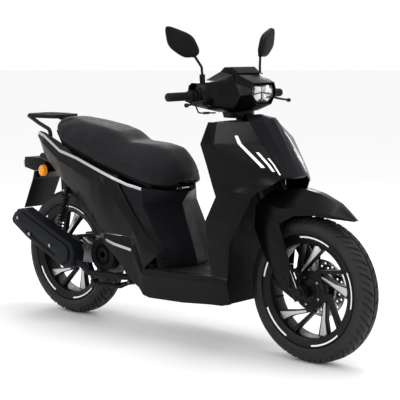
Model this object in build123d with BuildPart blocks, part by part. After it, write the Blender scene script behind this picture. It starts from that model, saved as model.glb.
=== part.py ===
from build123d import *
import math
import os

# Large-wheel city scooter, millimetres.
# X points forward, Y to the rider's left, Z up. The ground is Z = 0 and X = 0 is mid-length.

os.makedirs("parts", exist_ok=True)

# ---------------------------------------------------------------- driving dimensions
WHEELBASE = 1350.0
FRONT_AXLE_X = 699.0
REAR_AXLE_X = FRONT_AXLE_X - WHEELBASE
TYRE_RADIUS = 281.0
FRONT_TYRE_HALF_WIDTH = 55.0
REAR_TYRE_HALF_WIDTH = 60.0
TREAD_FLAT_HALF = 20.0
CONTACT_DEPTH = 0.2
RIM_RADIUS = 218.0

RAKE = math.radians(26.5)
STEER_X = 324.0
STEER_Z = 950.0

SWING_X = -226.0
SWING_Z = 300.0
SHOCK_TOP = (-586.0, 575.0)
SHOCK_LOW = (-650.0, 345.0)
SHOCK_Y = 112.0

SADDLE_PIVOT = (26.0, 624.0)
CENTRE_STAND_PIVOT = (-215.0, 204.0)
SIDE_STAND_PIVOT = (60.0, 150.0, 185.0)
KICK_PIVOT = (-330.0, 300.0)

PANEL = 4.0
RAIL = 28.0
FIT = 0.05
LEG_Y = 76.0
BAR_DIAMETER = 22.0


# ---------------------------------------------------------------- helpers
def steering(forward, along):
    """Side-view X and Z of a point by its distance ahead of and along the steering axis."""
    x = STEER_X + forward * math.cos(RAKE) - along * math.sin(RAKE)
    z = STEER_Z + forward * math.sin(RAKE) + along * math.cos(RAKE)
    return (x, z)


def steering_plane(along, across=0.0, forward=0.0):
    """Plane square to the steering axis; its local x points forward and local y to the left."""
    x, z = steering(forward, along)
    return Plane(
        origin=(x, across, z),
        x_dir=(math.cos(RAKE), 0, math.sin(RAKE)),
        z_dir=(-math.sin(RAKE), 0, math.cos(RAKE)),
    )


def inset(points, thickness):
    """Open outline moved to its own left by the thickness, with mitred corners."""
    moved = []
    for i, (x, y) in enumerate(points):
        normals = []
        for a, b in ((i - 1, i), (i, i + 1)):
            if 0 <= a and b < len(points):
                dx = points[b][0] - points[a][0]
                dy = points[b][1] - points[a][1]
                length = math.hypot(dx, dy)
                normals.append((-dy / length, dx / length))
        nx = sum(n[0] for n in normals)
        ny = sum(n[1] for n in normals)
        scale = thickness * len(normals) / (nx * nx + ny * ny)
        moved.append((x + nx * scale, y + ny * scale))
    return moved


def ruled(sections, mode=Mode.ADD):
    """Flat-faceted solid through closed outlines, each given as (plane, points)."""
    faces = []
    for plane, points in sections:
        with BuildSketch(plane) as section:
            with BuildLine():
                Polyline(*points, close=True)
            make_face()
        faces.append(section.sketch)
    loft(sections=faces, ruled=True, mode=mode)


def panel(stations, thickness=PANEL, mode=Mode.ADD):
    """Moulded panel through open outlines, thickened to the left of each outline."""
    ruled([(plane, points + inset(points, thickness)[::-1]) for plane, points in stations], mode)


def side_prism(points, y_low, y_high, mode=Mode.ADD):
    """Side-view outline of X and Z points, solid between two Y values."""
    with BuildSketch(Plane.XZ.offset(-y_high)) as outline:
        with BuildLine():
            Polyline(*points, close=True)
        make_face()
    extrude(to_extrude=outline.sketch, amount=y_high - y_low, mode=mode)


def plan_prism(points, z_low, z_high, mode=Mode.ADD):
    """Plan outline of X and Y points, solid between two heights."""
    with BuildSketch(Plane.XY.offset(z_low)) as outline:
        with BuildLine():
            Polyline(*points, close=True)
        make_face()
    extrude(to_extrude=outline.sketch, amount=z_high - z_low, mode=mode)


def cylinder_y(x, z, radius, y_low, y_high, mode=Mode.ADD):
    """Cylinder across the scooter."""
    with BuildSketch(Plane(origin=(x, y_low, z), x_dir=(1, 0, 0), z_dir=(0, 1, 0))) as disc:
        Circle(radius)
    extrude(to_extrude=disc.sketch, amount=y_high - y_low, mode=mode)


def rod(start, end, radius, mode=Mode.ADD):
    """Straight round bar between two points."""
    along = Vector(*end) - Vector(*start)
    with BuildSketch(Plane(origin=start, z_dir=along)) as disc:
        Circle(radius)
    extrude(to_extrude=disc.sketch, amount=along.length, mode=mode)


def tube(points, radius, bend, mode=Mode.ADD):
    """Bent round bar through points, with tangent arcs at its corners."""
    with BuildLine(mode=Mode.PRIVATE) as path:
        FilletPolyline(*points, radius=bend)
    route = path.line
    with BuildSketch(Plane(origin=route @ 0, z_dir=route % 0), mode=Mode.PRIVATE) as disc:
        Circle(radius)
    sweep(sections=disc.sketch, path=route, mode=mode)


def wheel_ring(x, profile, mode=Mode.ADD):
    """Ring about an axle at X, from a closed profile of (radius, y) points."""
    with BuildSketch(Plane(origin=(x, 0, TYRE_RADIUS), x_dir=(1, 0, 0), z_dir=(0, 0, 1))) as ring:
        with BuildLine():
            Polyline(*profile, close=True)
        make_face()
    revolve(profiles=ring.sketch, axis=Axis((x, 0, TYRE_RADIUS), (0, 1, 0)), mode=mode)


def both(points):
    """Right-hand half outline (Y negative) continued by its mirror image."""
    ends_on_centre = abs(points[-1][1 if len(points[-1]) == 2 else 0]) < 1e-9
    half = points[:-1] if ends_on_centre else points
    return points + [(x, -y) for x, y in reversed(half)]


def cut(*others):
    """Clear what the part shares with its neighbours."""
    for other in others:
        add(other.part, mode=Mode.SUBTRACT)


def save(built, name):
    built.part.label = name
    export_step(built.part, f"parts/{name}.step")


# ---------------------------------------------------------------- frame and stands' pivots
RAIL_PATH = [(332, -60, 250), (-40, -110, 250), (-112, -110, 292), (-212, -110, 560), (-330, -110, 602),
             (-770, -96, 716)]
HEAD_TUBE = (-178.0, -22.0)
STEM_RADIUS = 14.0
HEAD_BORE = 20.0

with BuildPart() as main_frame:
    with BuildSketch(steering_plane(HEAD_TUBE[0])) as head:
        Circle(25)
    extrude(to_extrude=head.sketch, amount=HEAD_TUBE[1] - HEAD_TUBE[0])
    tube([(374, 0, 852), (342, 0, 700), (342, 0, 330), (330, 0, 250)], 20, 60)
    for side in (1, -1):
        tube([(x, y * side, z) for x, y, z in RAIL_PATH], RAIL / 2, 36)
        # shock brackets: a block under the rail with two cheeks
        low, high = sorted((side * 93, side * 131))
        side_prism([(-566, 640), (-606, 640), (-606, 676), (-566, 664)], low, high)
        for cheek in (93, 126):
            low, high = sorted((side * cheek, side * (cheek + 5)))
            side_prism([(-566, 645), (-606, 645), (-600, 559), (-572, 559)], low, high)
        # engine hanger cheeks
        low, high = sorted((side * 84, side * 100))
        side_prism(
            [(-104, 286), (-124, 332), (-212, 314), (-240, 314), (-240, 286), (-212, 284)], low, high)
        # saddle hinge cheeks
        low, high = sorted((side * 28, side * 36))
        side_prism(
            [(-72, 592), (-58, 582), (0, 608), (14, 615), (34, 616), (34, 632), (18, 632), (-30, 618)],
            low, high)
    # hoop under the nose of the saddle, cross tubes
    tube([(-208, -110, 553), (-64, -100, 588), (-64, 100, 588), (-208, 110, 553)], 11, 40)
    rod((322, -64, 250), (322, 64, 250), 12)
    rod((-52, -110, 250), (-52, 110, 250), 12)
    rod((-766, -96, 715), (-766, 96, 715), 12)
    # side stand boss hangs off the left rail
    side_prism([(40, 250), (80, 250), (74, 160), (46, 160)], 92, 126)
    rod((60, 122, 170.6), (60, 152, 186), 5)
    with BuildSketch(steering_plane(HEAD_TUBE[0])) as bore:
        Circle(HEAD_BORE)
    extrude(to_extrude=bore.sketch, amount=HEAD_TUBE[1] - HEAD_TUBE[0], mode=Mode.SUBTRACT)
    for x, z, radius in ((SHOCK_TOP[0], SHOCK_TOP[1], 5), (SWING_X, SWING_Z, 7), (*SADDLE_PIVOT, 4)):
        cylinder_y(x, z, radius, -136, 136, mode=Mode.SUBTRACT)
save(main_frame, "main_frame")

with BuildPart() as pivot_pins:
    cylinder_y(SWING_X, SWING_Z, 7, -104, 104)
    cylinder_y(*SADDLE_PIVOT, 4, -50, 50)
    for side in (1, -1):
        low, high = sorted((side * 90, side * 134))
        cylinder_y(*SHOCK_TOP, 5, low, high)
save(pivot_pins, "pivot_pins")

with BuildPart() as head_bearings:
    for start in (HEAD_TUBE[0], HEAD_TUBE[1] - 16):
        with BuildSketch(steering_plane(start)) as race:
            Circle(HEAD_BORE)
            Circle(STEM_RADIUS + FIT, mode=Mode.SUBTRACT)
        extrude(to_extrude=race.sketch, amount=16)
save(head_bearings, "head_bearings")

# ---------------------------------------------------------------- leg shield and nose
# Each level: height, rear edge, crease and front edge of the right apron, centre X of the rear shield.
APRON = [
    (918, (333, -200), (360, -178), (432, -72), 276),
    (838, (348, -262), (402, -246), (500, -74), 278),
    (760, (365, -246), (478, -212), (572, -75), 284),
    (712, (374, -236), (528, -184), (604, -76), 290),
    (686, (379, -231), (552, -168), (586, -120), 293),
    (657, (385, -225), (522, -188), (546, -160), 296),
    (635, (390, -220), (494, -198), (530, -174), 299),
    (541, (340, -222), (472, -212), (494, -198), 294),
    (456, (342, -219), (438, -214), (453, -210), 299),
    (322, (360, -210), (425, -209), (440, -208), 318),
]

with BuildPart() as apron_right:
    panel([(Plane.XY.offset(z), [rear, crease, front]) for z, rear, crease, front, _ in APRON])
save(apron_right, "apron_right")

with BuildPart() as apron_left:
    mirror(apron_right.part, about=Plane.XZ)
save(apron_left, "apron_left")

EDGE_GAP = 6.0
with BuildPart() as inner_leg_shield:
    levels = []
    for z, rear, _, _, centre in APRON:
        edge_y = rear[1] + EDGE_GAP
        half = [(rear[0], edge_y), (centre + 0.3 * (rear[0] - centre), edge_y * 0.55), (centre, 0)]
        levels.append((Plane.XY.offset(z - 4 if z == 918 else z), both(half)[::-1]))
    ruled([(plane, points + inset(points, -PANEL)[::-1]) for plane, points in levels])
    # top deck round the steering neck
    plan_prism(
        [(290, 0), (294, -110), (331, -191), (358, -171), (430, -66), (430, 66), (358, 171), (331, 191),
         (294, 110)],
        908, 912,
    )
    with BuildSketch(Plane.XY.offset(900)) as opening:
        with Locations((344, 0)):
            Circle(60)
    extrude(to_extrude=opening.sketch, amount=20, mode=Mode.SUBTRACT)
    # socket of the ignition lock
    rod((300, -120, 860), (284, -120, 860), 14)
    rod((292, -120, 860), (280, -120, 860), 9 + FIT, mode=Mode.SUBTRACT)
    cut(apron_right, apron_left)
save(inner_leg_shield, "inner_leg_shield")

NOSE = [
    (940, [(396, -40), (424, -26), (434, 0)]),
    (932, [(408, -60), (480, -30), (494, 0)]),
    (918, [(433, -71), (486, -42), (504, 0)]),
    (838, [(501, -73), (542, -45), (553, 0)]),
    (760, [(573, -74), (590, -46), (596, 0)]),
    (712, [(605, -75), (616, -48), (620, 0)]),
    (704, [(599, -73), (609, -47), (613, 0)]),
]

with BuildPart() as nose_panel:
    panel([(Plane.XY.offset(z), both(points)) for z, points in NOSE])
    plan_prism(both([(394, -38), (424, -26), (434, 0)]), 938, 942)
save(nose_panel, "nose_panel")

with BuildPart() as wheel_well:
    wall = [(690, 372, 160), (600, 380, 172), (450, 388, 196), (322, 380, 192), (205, 396, 176)]
    panel([(Plane.XY.offset(z), [(x + 14, half), (x, half * 0.5), (x, -half * 0.5), (x + 14, -half)])
           for z, x, half in wall], -PANEL)
    # belly pan under the floor
    side_prism([(392, 207), (394, 202), (0, 183), (-30, 186), (-30, 190), (0, 187), (388, 206)], -184, 88)
save(wheel_well, "wheel_well")

# Light bars lie proud of the apron's upper facet, three a side.
def on_upper_facet(share, z):
    """Point of the upper facet, by its share of the way from the crease to the nose edge."""
    for (z_high, _, c_high, f_high, _), (z_low, _, c_low, f_low, _) in zip(APRON, APRON[1:]):
        if z_low <= z <= z_high:
            t = (z_high - z) / (z_high - z_low)
            crease = [a + t * (b - a) for a, b in zip(c_high, c_low)]
            front = [a + t * (b - a) for a, b in zip(f_high, f_low)]
            return (crease[0] + share * (front[0] - crease[0]), crease[1] + share * (front[1] - crease[1]))
    raise ValueError(z)


LIGHT_BARS = [(868, 0.46, 0.55, 750, 0.58, 0.70), (806, 0.73, 0.81, 735, 0.79, 0.885),
              (784, 0.89, 0.95, 722, 0.93, 1.0)]
with BuildPart() as light_bars:
    for z_top, a_top, b_top, z_low, a_low, b_low in LIGHT_BARS:
        sections = []
        for z in [z_top] + [level[0] for level in APRON if z_low < level[0] < z_top] + [z_low]:
            t = (z_top - z) / (z_top - z_low)
            first = on_upper_facet(a_top + t * (a_low - a_top), z)
            last = on_upper_facet(b_top + t * (b_low - b_top) - 0.02, z)
            outline = inset([first, last], -0.8)
            sections.append((Plane.XY.offset(z), outline + inset([first, last], -3.0)[::-1]))
        ruled(sections)
    mirror(light_bars.part, about=Plane.XZ)
    cut(apron_right, apron_left)
save(light_bars, "light_bars")

# ---------------------------------------------------------------- floor
SKIRT = [
    (-272, (-186, 421), (-192, 402), (-188, 378)),
    (-200, (-188, 421), (-196, 392), (-190, 330)),
    (-96, (-190, 421), (-198, 378), (-190, 234)),
    (-60, (-190, 344), (-199, 318), (-190, 216)),
    (-36, (-190, 296), (-200, 278), (-190, 188)),
    (0, (-192, 300), (-203, 276), (-190, 181)),
    (193, (-200, 307), (-211, 284), (-192, 188)),
    (360, (-210, 321), (-214, 290), (-192, 203)),
    (440, (-208, 321), (-210, 290), (-188, 214)),
]

with BuildPart() as floor_skirts:
    panel([(Plane.YZ.offset(x), [top, middle, low]) for x, top, middle, low in SKIRT])
    mirror(floor_skirts.part, about=Plane.XZ)
save(floor_skirts, "floor_skirts")

with BuildPart() as floorboard:
    slab = ((-30, 184, 292, 300), (193, 194, 298, 306), (356, 202, 308, 316))
    ruled([(Plane.YZ.offset(x), [(-half, low), (half, low), (half, high), (-half, high)])
           for x, half, low, high in slab])
    cut(main_frame)
save(floorboard, "floorboard")

with BuildPart() as battery:
    plan_prism([(150, -40), (290, -40), (290, 40), (150, 40)], 212, 284)
    for y in (-22, 22):
        with BuildSketch(Plane.XY.offset(284)) as terminal:
            with Locations((160, y)):
                Circle(6)
        extrude(to_extrude=terminal.sketch, amount=6)
save(battery, "battery")

# ---------------------------------------------------------------- body under the saddle
# Right side panel: X, then lip under the saddle, top, crease and bottom points.
SIDE_PANEL = [
    (-774, (-98, 829), (-106, 826), (-116, 808), (-106, 790)),
    (-714, (-120, 824), (-130, 819), (-142, 778), (-128, 720)),
    (-574, (-136, 778), (-160, 760), (-172, 712), (-150, 626)),
    (-450, (-152, 740), (-174, 736), (-186, 676), (-160, 553)),
    (-347, (-160, 710), (-182, 707), (-193, 640), (-170, 461)),
    (-288, (-161, 695), (-184, 689), (-194, 655), (-180, 424)),
    (-205, (-161, 675), (-186, 666), (-196, 575), (-186, 424)),
    (-150, (-182, 597), (-188, 597), (-195.5, 517), (-188, 424)),
    (-96, (-184, 529), (-189, 529), (-195, 461), (-190, 424)),
    (-33, (-185, 460), (-190, 460), (-195, 375), (-192, 300)),
    (50, (-185, 374), (-190, 374), (-191, 369), (-191, 364)),
]
SIDE_SKIN = 3.5

with BuildPart() as side_panel_right:
    panel([(Plane.YZ.offset(x), points) for x, *points in SIDE_PANEL], SIDE_SKIN)
save(side_panel_right, "side_panel_right")

with BuildPart() as side_panel_left:
    mirror(side_panel_right.part, about=Plane.XZ)
save(side_panel_left, "side_panel_left")

CREST = Plane(origin=(24, 0, 612), x_dir=(0.9824, 0, -0.187), z_dir=(0.187, 0, 0.9824))
with BuildPart() as tunnel_cover:
    panel([
        (CREST, both([(-206, -180), (-90, -164), (-8, -78), (24, 0)])),
        (Plane.XY.offset(557), both([(-130, -180), (-60, -166), (-22, -76), (10, 0)])),
        (Plane.XY.offset(483), both([(-63, -181), (-14, -160), (6, -76), (34, 0)])),
        (Plane.XY.offset(385), both([(24, -181), (44, -150), (50, -76), (74, 0)])),
        (Plane.XY.offset(318), both([(44, -181), (58, -150), (72, -80), (96, 0)])),
        (Plane.XY.offset(306), both([(46, -181), (60, -150), (74, -80), (98, 0)])),
    ])
    cut(side_panel_right, side_panel_left)
save(tunnel_cover, "tunnel_cover")

# Bright strips: one along the saddle line and one short accent behind the footwell.
STRIP_TOP = 1.0
STRIP_LOW = 13.0
STRIP_PROUD = 2.6


def strip_section(x, top, crease):
    """Strip section on a panel facet, sunk 1 mm into the skin before it is trimmed."""
    dy = crease[0] - top[0]
    dz = crease[1] - top[1]
    length = math.hypot(dy, dz)
    corners = []
    profile = ((STRIP_TOP, -1), (STRIP_LOW, -1), (STRIP_LOW, STRIP_PROUD), (STRIP_TOP, STRIP_PROUD))
    for down, proud in profile:
        y = top[0] + dy * down / length + dz * proud / length
        z = top[1] + dz * down / length - dy * proud / length
        corners.append((y, z))
    return (Plane.YZ.offset(x), corners)


ACCENT_STRIP = [(-253, (-191.8, 403), (-190, 380)), (-200, (-196, 392), (-193, 361)),
                (-96, (-198, 378), (-196.6, 352))]
with BuildPart() as trim_strips:
    ruled([strip_section(x, top, crease) for x, _, top, crease, _ in SIDE_PANEL[:7]])
    ruled([strip_section(x, top, crease) for x, top, crease in
           ((-204.5, (-186, 666), (-190, 630)), (-138, (-176.5, 645), (-178, 620)),
            (-100, (-171, 638), (-172, 620)), (-66, (-166, 631), (-167, 612)))])
    ruled([strip_section(x, top, crease) for x, top, crease in ACCENT_STRIP])
    mirror(trim_strips.part, about=Plane.XZ)
    cut(side_panel_right, side_panel_left, tunnel_cover, floor_skirts)
save(trim_strips, "trim_strips")

with BuildPart() as storage_bucket:
    side_prism([(-400, 660), (-400, 580), (-330, 480), (-84, 480), (-84, 622)], -84, 84)
    side_prism([(-396, 680), (-396, 582), (-328, 484), (-88, 484), (-88, 640)], -80, 80, mode=Mode.SUBTRACT)
save(storage_bucket, "storage_bucket")

with BuildPart() as fuel_tank:
    ruled([(Plane.XY.offset(z), [(-x_rear, -half), (-x_front, -half), (-x_front, half), (-x_rear, half)])
           for z, x_rear, x_front, half in ((660, 690, 480, 72), (680, 704, 456, 80), (724, 704, 456, 80))])
    with BuildSketch(Plane.XY.offset(724)) as neck:
        with Locations((-560, 0)):
            Circle(30)
    extrude(to_extrude=neck.sketch, amount=18)
save(fuel_tank, "fuel_tank")

with BuildPart() as rear_mudguard:
    with BuildSketch(Plane.XZ) as guard:
        with BuildLine():
            outer = CenterArc((REAR_AXLE_X, TYRE_RADIUS), 374, 52, 66)
            inner = CenterArc((REAR_AXLE_X, TYRE_RADIUS), 370, 52, 66)
            Line(outer @ 0, inner @ 0)
            Line(outer @ 1, inner @ 1)
        make_face()
    extrude(to_extrude=guard.sketch, amount=72, both=True)
    # number plate holder
    side_prism(
        [(-842, 640), (-830, 610), (-848, 600), (-919, 463), (-923, 465), (-858, 604), (-848, 640)], -80, 80)
save(rear_mudguard, "rear_mudguard")

# Tail lamp stations: X, half-width, low and high.
TAIL_BODY = [(-764, 84, 650, 702), (-846, 80, 641, 702), (-924, 70, 652, 699)]
TAIL_FIN = [(-924, 70, 688, 699), (-980, 24, 680, 684)]
TAIL_LENS = [(-925, 66, 653, 687), (-950, 54, 658, 682), (-962, 40, 670, 679)]


def tapered(stations):
    """Four-sided block through stations across the scooter."""
    ruled([(Plane.YZ.offset(x), [(-half, low), (half, low), (half, high), (-half, high)])
           for x, half, low, high in stations])


with BuildPart() as tail_lamp:
    tapered(TAIL_BODY)
    tapered(TAIL_FIN)
    tapered(TAIL_LENS)
    for side in (1, -1):
        rod((-772, side * 78, 668), (-744, side * 112, 656), 7)
        with BuildSketch(Plane(origin=(-738, side * 108, 653), z_dir=(0.2, side * 0.98, 0))) as lamp:
            Ellipse(17, 24)
        extrude(to_extrude=lamp.sketch, amount=24)
    cut(rear_mudguard)
save(tail_lamp, "tail_lamp")

RACK_OUTER = [(-708, -66), (-800, -84), (-880, -80), (-906, -52), (-906, 52), (-880, 80), (-800, 84),
              (-708, 66)]
with BuildPart() as luggage_rack:
    plan_prism(RACK_OUTER, 884, 902)
    for hole in ([(-890, -48), (-876, -64), (-852, -66), (-852, 66), (-876, 64), (-890, 48)],
                 [(-836, -66), (-800, -68), (-790, -66), (-790, 66), (-800, 68), (-836, 66)],
                 [(-774, -62), (-724, -52), (-724, 52), (-774, 62)]):
        plan_prism(hole, 880, 906, mode=Mode.SUBTRACT)
    for side in (1, -1):
        tube([(-884, side * 74, 892), (-800, side * 86, 862), (-712, side * 97, 836), (-694, side * 99, 702)],
             9, 26)
    cut(main_frame)
save(luggage_rack, "luggage_rack")

# ---------------------------------------------------------------- saddle
# X, half-width and height at the bottom edge, the shoulder and the top.
SADDLE = [
    (-690, 66, 858, 64, 874, 40, 886),
    (-662, 112, 838, 106, 864, 60, 893),
    (-600, 142, 792, 134, 848, 76, 888),
    (-510, 157, 764, 146, 836, 84, 876),
    (-385, 168, 727, 150, 818, 86, 858),
    (-310, 171, 706, 148, 790, 80, 840),
    (-240, 172, 690, 144, 758, 74, 800),
    (-110, 169, 656, 138, 744, 72, 796),
    (-38, 158, 640, 126, 730, 66, 788),
    (6, 126, 632, 98, 706, 52, 750),
    (34, 76, 634, 62, 674, 34, 706),
    (50, 30, 648, 26, 664, 14, 682),
]

with BuildPart() as saddle_cushion:
    ruled([(Plane.YZ.offset(x), [(-w, zb), (-s, zs), (-t, zt), (t, zt), (s, zs), (w, zb)])
           for x, w, zb, s, zs, t, zt in SADDLE])
    side_prism([(-37.5, 600), (64, 600), (64, 650), (-37.5, 650)], -54, 54, mode=Mode.SUBTRACT)
save(saddle_cushion, "saddle_cushion")

with BuildPart() as saddle_base:
    ruled([(Plane.YZ.offset(x), [(-w * 0.9, zb - 9), (w * 0.9, zb - 9), (w * 0.9, zb - 0.3),
                                     (-w * 0.9, zb - 0.3)])
           for x, w, zb, *_ in SADDLE[1:9]])
    for side in (1, -1):
        low, high = sorted((side * 38, side * 46))
        side_prism([(-50, 634), (-38, 631), (20, 616), (34, 618),
                    (34, 632), (20, 633), (-38, 639), (-50, 641)],
                   low, high)
    cylinder_y(*SADDLE_PIVOT, 4 + FIT, -60, 60, mode=Mode.SUBTRACT)
save(saddle_base, "saddle_base")

# ---------------------------------------------------------------- steering
with BuildPart() as steering_stem:
    with BuildSketch(steering_plane(-212)) as yoke:
        with BuildLine():
            Polyline((-22, -40), (-8, -92), (32, -92), (38, -40), (38, 40), (32, 92), (-8, 92), (-22, 40),
                     close=True)
        make_face()
    extrude(to_extrude=yoke.sketch, amount=30)
    with BuildSketch(steering_plane(-212)) as stem:
        Circle(STEM_RADIUS)
    extrude(to_extrude=stem.sketch, amount=250)
    for side in (1, -1):
        with BuildSketch(steering_plane(-600, side * LEG_Y, 12)) as stanchion:
            Circle(13.5)
        extrude(to_extrude=stanchion.sketch, amount=395)
save(steering_stem, "steering_stem")

HANDLEBAR = [(252, -345, 1015), (268, -232, 1017), (286, -130, 1004), (314, -40, 976), (314, 40, 976),
             (286, 130, 1004), (268, 232, 1017), (252, 345, 1015)]
with BuildPart() as handlebar:
    tube(HANDLEBAR, BAR_DIAMETER / 2, 45)
    with BuildSketch(steering_plane(6)) as clamp:
        Circle(21)
        Circle(STEM_RADIUS, mode=Mode.SUBTRACT)
    extrude(to_extrude=clamp.sketch, amount=26)
    with BuildSketch(steering_plane(0)) as clearance:
        Circle(STEM_RADIUS)
    extrude(to_extrude=clearance.sketch, amount=60, mode=Mode.SUBTRACT)
save(handlebar, "handlebar")

LEVER_PIVOT = (318.0, 203.0, 1004.0)
LEVER_AXIS = (0.466, 0.0, 0.885)
LEVER_PIN = 3.0


def along_lever_pin(distance, side):
    x, y, z = LEVER_PIVOT
    return (x + LEVER_AXIS[0] * distance, side * y, z + LEVER_AXIS[2] * distance)


with BuildPart() as switch_housings:
    for side in (1, -1):
        rod((268.4, side * 229, 1016.8), (271.2, side * 212, 1014.6), 24)
        rod((271.4, side * 213, 1014.4), (283, side * 152, 1004), 19)
        # block for the buttons
        side_prism([(240, 996), (262, 990), (262, 1030), (240, 1024)], *sorted((side * 214, side * 230)))
        # master cylinder and lever perch ahead of the bar, with its clevis and pin
        side_prism([(270, 1000), (304, 997), (306, 1003), (306, 1012), (300, 1022), (272, 1026)],
                   *sorted((side * 193, side * 213)))
        for start in (6.5, -9.5):
            cheek_plane = Plane(origin=along_lever_pin(start, side), x_dir=(0.885, 0, -0.466), z_dir=LEVER_AXIS)
            with BuildSketch(cheek_plane) as cheek:
                Circle(8)
                with Locations((-13, 0)):
                    Rectangle(26, 14)
            extrude(to_extrude=cheek.sketch, amount=3)
        rod(along_lever_pin(-9, side), along_lever_pin(9, side), LEVER_PIN)
        side_prism([(272, 1022), (300, 1020), (300, 1050), (272, 1052)], *sorted((side * 150, side * 206)))
        # mirror stalk
        rod((283, side * 176, 1046), (281, side * 176, 1100), 11)
        tube([(281, side * 176, 1098), (279, side * 177, 1128), (262.6, side * 199.4, 1170)], 5, 18)
        rod((246, side * 224, 1004 if side < 0 else 1000), (230, side * 224, 1004 if side < 0 else 1000), 5.5,
            mode=Mode.SUBTRACT)
    cut(handlebar)
save(switch_housings, "switch_housings")

with BuildPart() as instrument_cluster:
    side_prism([(300, 1126), (340, 1128), (374, 1104), (362, 1096), (330, 1104), (296, 1100), (278, 1094),
                (272, 1102)], -70, 70)
save(instrument_cluster, "instrument_cluster")

# Bar cover sections by Y: top, front edge, crease, low edge and rear bottom as X and Z.
COVER_ARM = [
    (-214, [(262, 1068), (286, 1066), (296, 1032), (284, 994), (262, 980)]),
    (-140, [(266, 1076), (334, 1074), (322, 1013), (302, 978), (266, 964)]),
    (-86, [(292, 1108), (360, 1098), (400, 1015), (366, 962), (292, 950)]),
]
POD = [
    (300, [(-74, 1123), (-92, 1078), (-94, 1014), (-62, 948)]),
    (370, [(-72, 1100), (-88, 1068), (-92, 1014), (-54, 954)]),
    (446, [(-64, 1068), (-74, 1044), (-76, 1024), (-46, 982)]),
]


def pod_outline(points, shrink=0.0):
    half = [(y + shrink, z - shrink if z > 1014 else z + shrink) for y, z in points]
    return half + [(-y, z) for y, z in reversed(half)]


with BuildPart() as bar_cover_front:
    for side in (1, -1):
        stations = [(Plane.XZ.offset(-y * side), points) for y, points in COVER_ARM]
        panel(stations, -PANEL)
    ruled([(Plane.YZ.offset(x), pod_outline(points)) for x, points in POD])
    ruled([(Plane.YZ.offset(x + (1 if x == 446 else -1 if x == 300 else 0)), pod_outline(points, PANEL))
           for x, points in POD], mode=Mode.SUBTRACT)
    # neck round the stem
    for grow, z_low, z_high, mode in ((0, 927, 957, Mode.ADD), (-PANEL, 925, 960, Mode.SUBTRACT)):
        with BuildSketch(Plane.XY.offset(z_low)) as low_ring:
            with Locations((318, 0)):
                Ellipse(64 + grow, 56 + grow)
        with BuildSketch(Plane.XY.offset(z_high)) as high_ring:
            with Locations((313, 0)):
                Ellipse(69 + grow, 61 + grow)
        loft(sections=[low_ring.sketch, high_ring.sketch], mode=mode)
    cut(handlebar, steering_stem, switch_housings, instrument_cluster)
save(bar_cover_front, "bar_cover_front")

with BuildPart() as bar_cover_rear:
    for side in (1, -1):
        panel([
            (Plane.XZ.offset(214 * side), [(261, 1068), (244, 1056), (238, 1022), (246, 990), (261, 980)]),
            (Plane.XZ.offset(140 * side), [(265, 1076), (248, 1064), (242, 1018), (248, 976), (265, 964)]),
            (Plane.XZ.offset(75 * side), [(291, 1108), (262, 1084), (248, 1016), (258, 966), (291, 950)]),
            (Plane.XZ, [(291, 1110), (262, 1086), (248, 1016), (258, 964), (291, 946)]),
        ], PANEL)
    cut(bar_cover_front, handlebar, switch_housings, instrument_cluster)
save(bar_cover_rear, "bar_cover_rear")

LAMP = [(-58, 1060), (-69, 1042), (-70, 1026), (-42, 988)]
with BuildPart() as headlight:
    ruled([(Plane.YZ.offset(x), pod_outline(LAMP, shrink)) for x, shrink in ((396, 12), (434, 0))])
    ruled([(Plane.YZ.offset(x), pod_outline(LAMP, shrink)) for x, shrink in ((402, 15), (435, 3))],
          mode=Mode.SUBTRACT)
    ruled([(Plane.YZ.offset(x), pod_outline(LAMP, shrink)) for x, shrink in ((434, 0), (438, 0.5), (442, 6))])
    cut(bar_cover_front)
save(headlight, "headlight")

THROTTLE_CABLE = [(282, -222, 999), (292, -222, 974), (288, -205, 953), (286, -180, 950), (267, -120, 948),
                  (258, -74, 946)]
CABLE_RADIUS = 3.0
with BuildPart() as throttle_cable:
    tube(THROTTLE_CABLE, CABLE_RADIUS, 11)
    rod((281, -165, 949.5), (268, -124, 948.2), 5)
    cut(bar_cover_front, bar_cover_rear, switch_housings)
save(throttle_cable, "throttle_cable")


def grip(end_y, start_y, bore):
    """Rubber grip with a flange at its inner end, on the right-hand bar."""
    slope = (268 - 252) / (345 - 232)
    start = (268 - (start_y - 232) * slope, -start_y, 1017 - (start_y - 232) * 2 / 113)
    end = (268 - (end_y - 232) * slope, -end_y, 1017 - (end_y - 232) * 2 / 113)
    flange = (268 - (start_y + 5 - 232) * slope, -(start_y + 5), 1017 - (start_y + 5 - 232) * 2 / 113)
    rod(start, end, 17)
    rod(start, flange, 22)
    tube(HANDLEBAR, bore, 45, mode=Mode.SUBTRACT)


with BuildPart() as throttle_grip:
    grip(341, 234, BAR_DIAMETER / 2 + FIT)
save(throttle_grip, "throttle_grip")

with BuildPart() as left_grip_right_hand:
    grip(341, 234, BAR_DIAMETER / 2)
with BuildPart() as left_grip:
    mirror(left_grip_right_hand.part, about=Plane.XZ)
save(left_grip, "left_grip")

def lever(side):
    """Brake lever: pivot eye, blade and ball end."""
    x, y, z = LEVER_PIVOT
    with BuildSketch(Plane(origin=(x - 0.466 * 5, side * y, z - 0.885 * 5), z_dir=LEVER_AXIS)) as eye:
        Circle(9)
    extrude(to_extrude=eye.sketch, amount=10)
    tube([(x, side * (y + 3), z), (x + 12, side * (y + 30), z - 8), (x + 10, side * (y + 70), z - 13),
          (x + 6, side * (y + 108), z - 18)], 4.6, 30)
    rod(along_lever_pin(-12, side), along_lever_pin(12, side), LEVER_PIN + FIT, mode=Mode.SUBTRACT)
    with BuildSketch(Plane.XZ.offset(-side * (y + 109))) as ball_half:
        with Locations((x + 6, z - 18)):
            Circle(8)
    extrude(to_extrude=ball_half.sketch, amount=5, both=True)


with BuildPart() as brake_lever_right:
    lever(-1)
save(brake_lever_right, "brake_lever_right")

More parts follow.
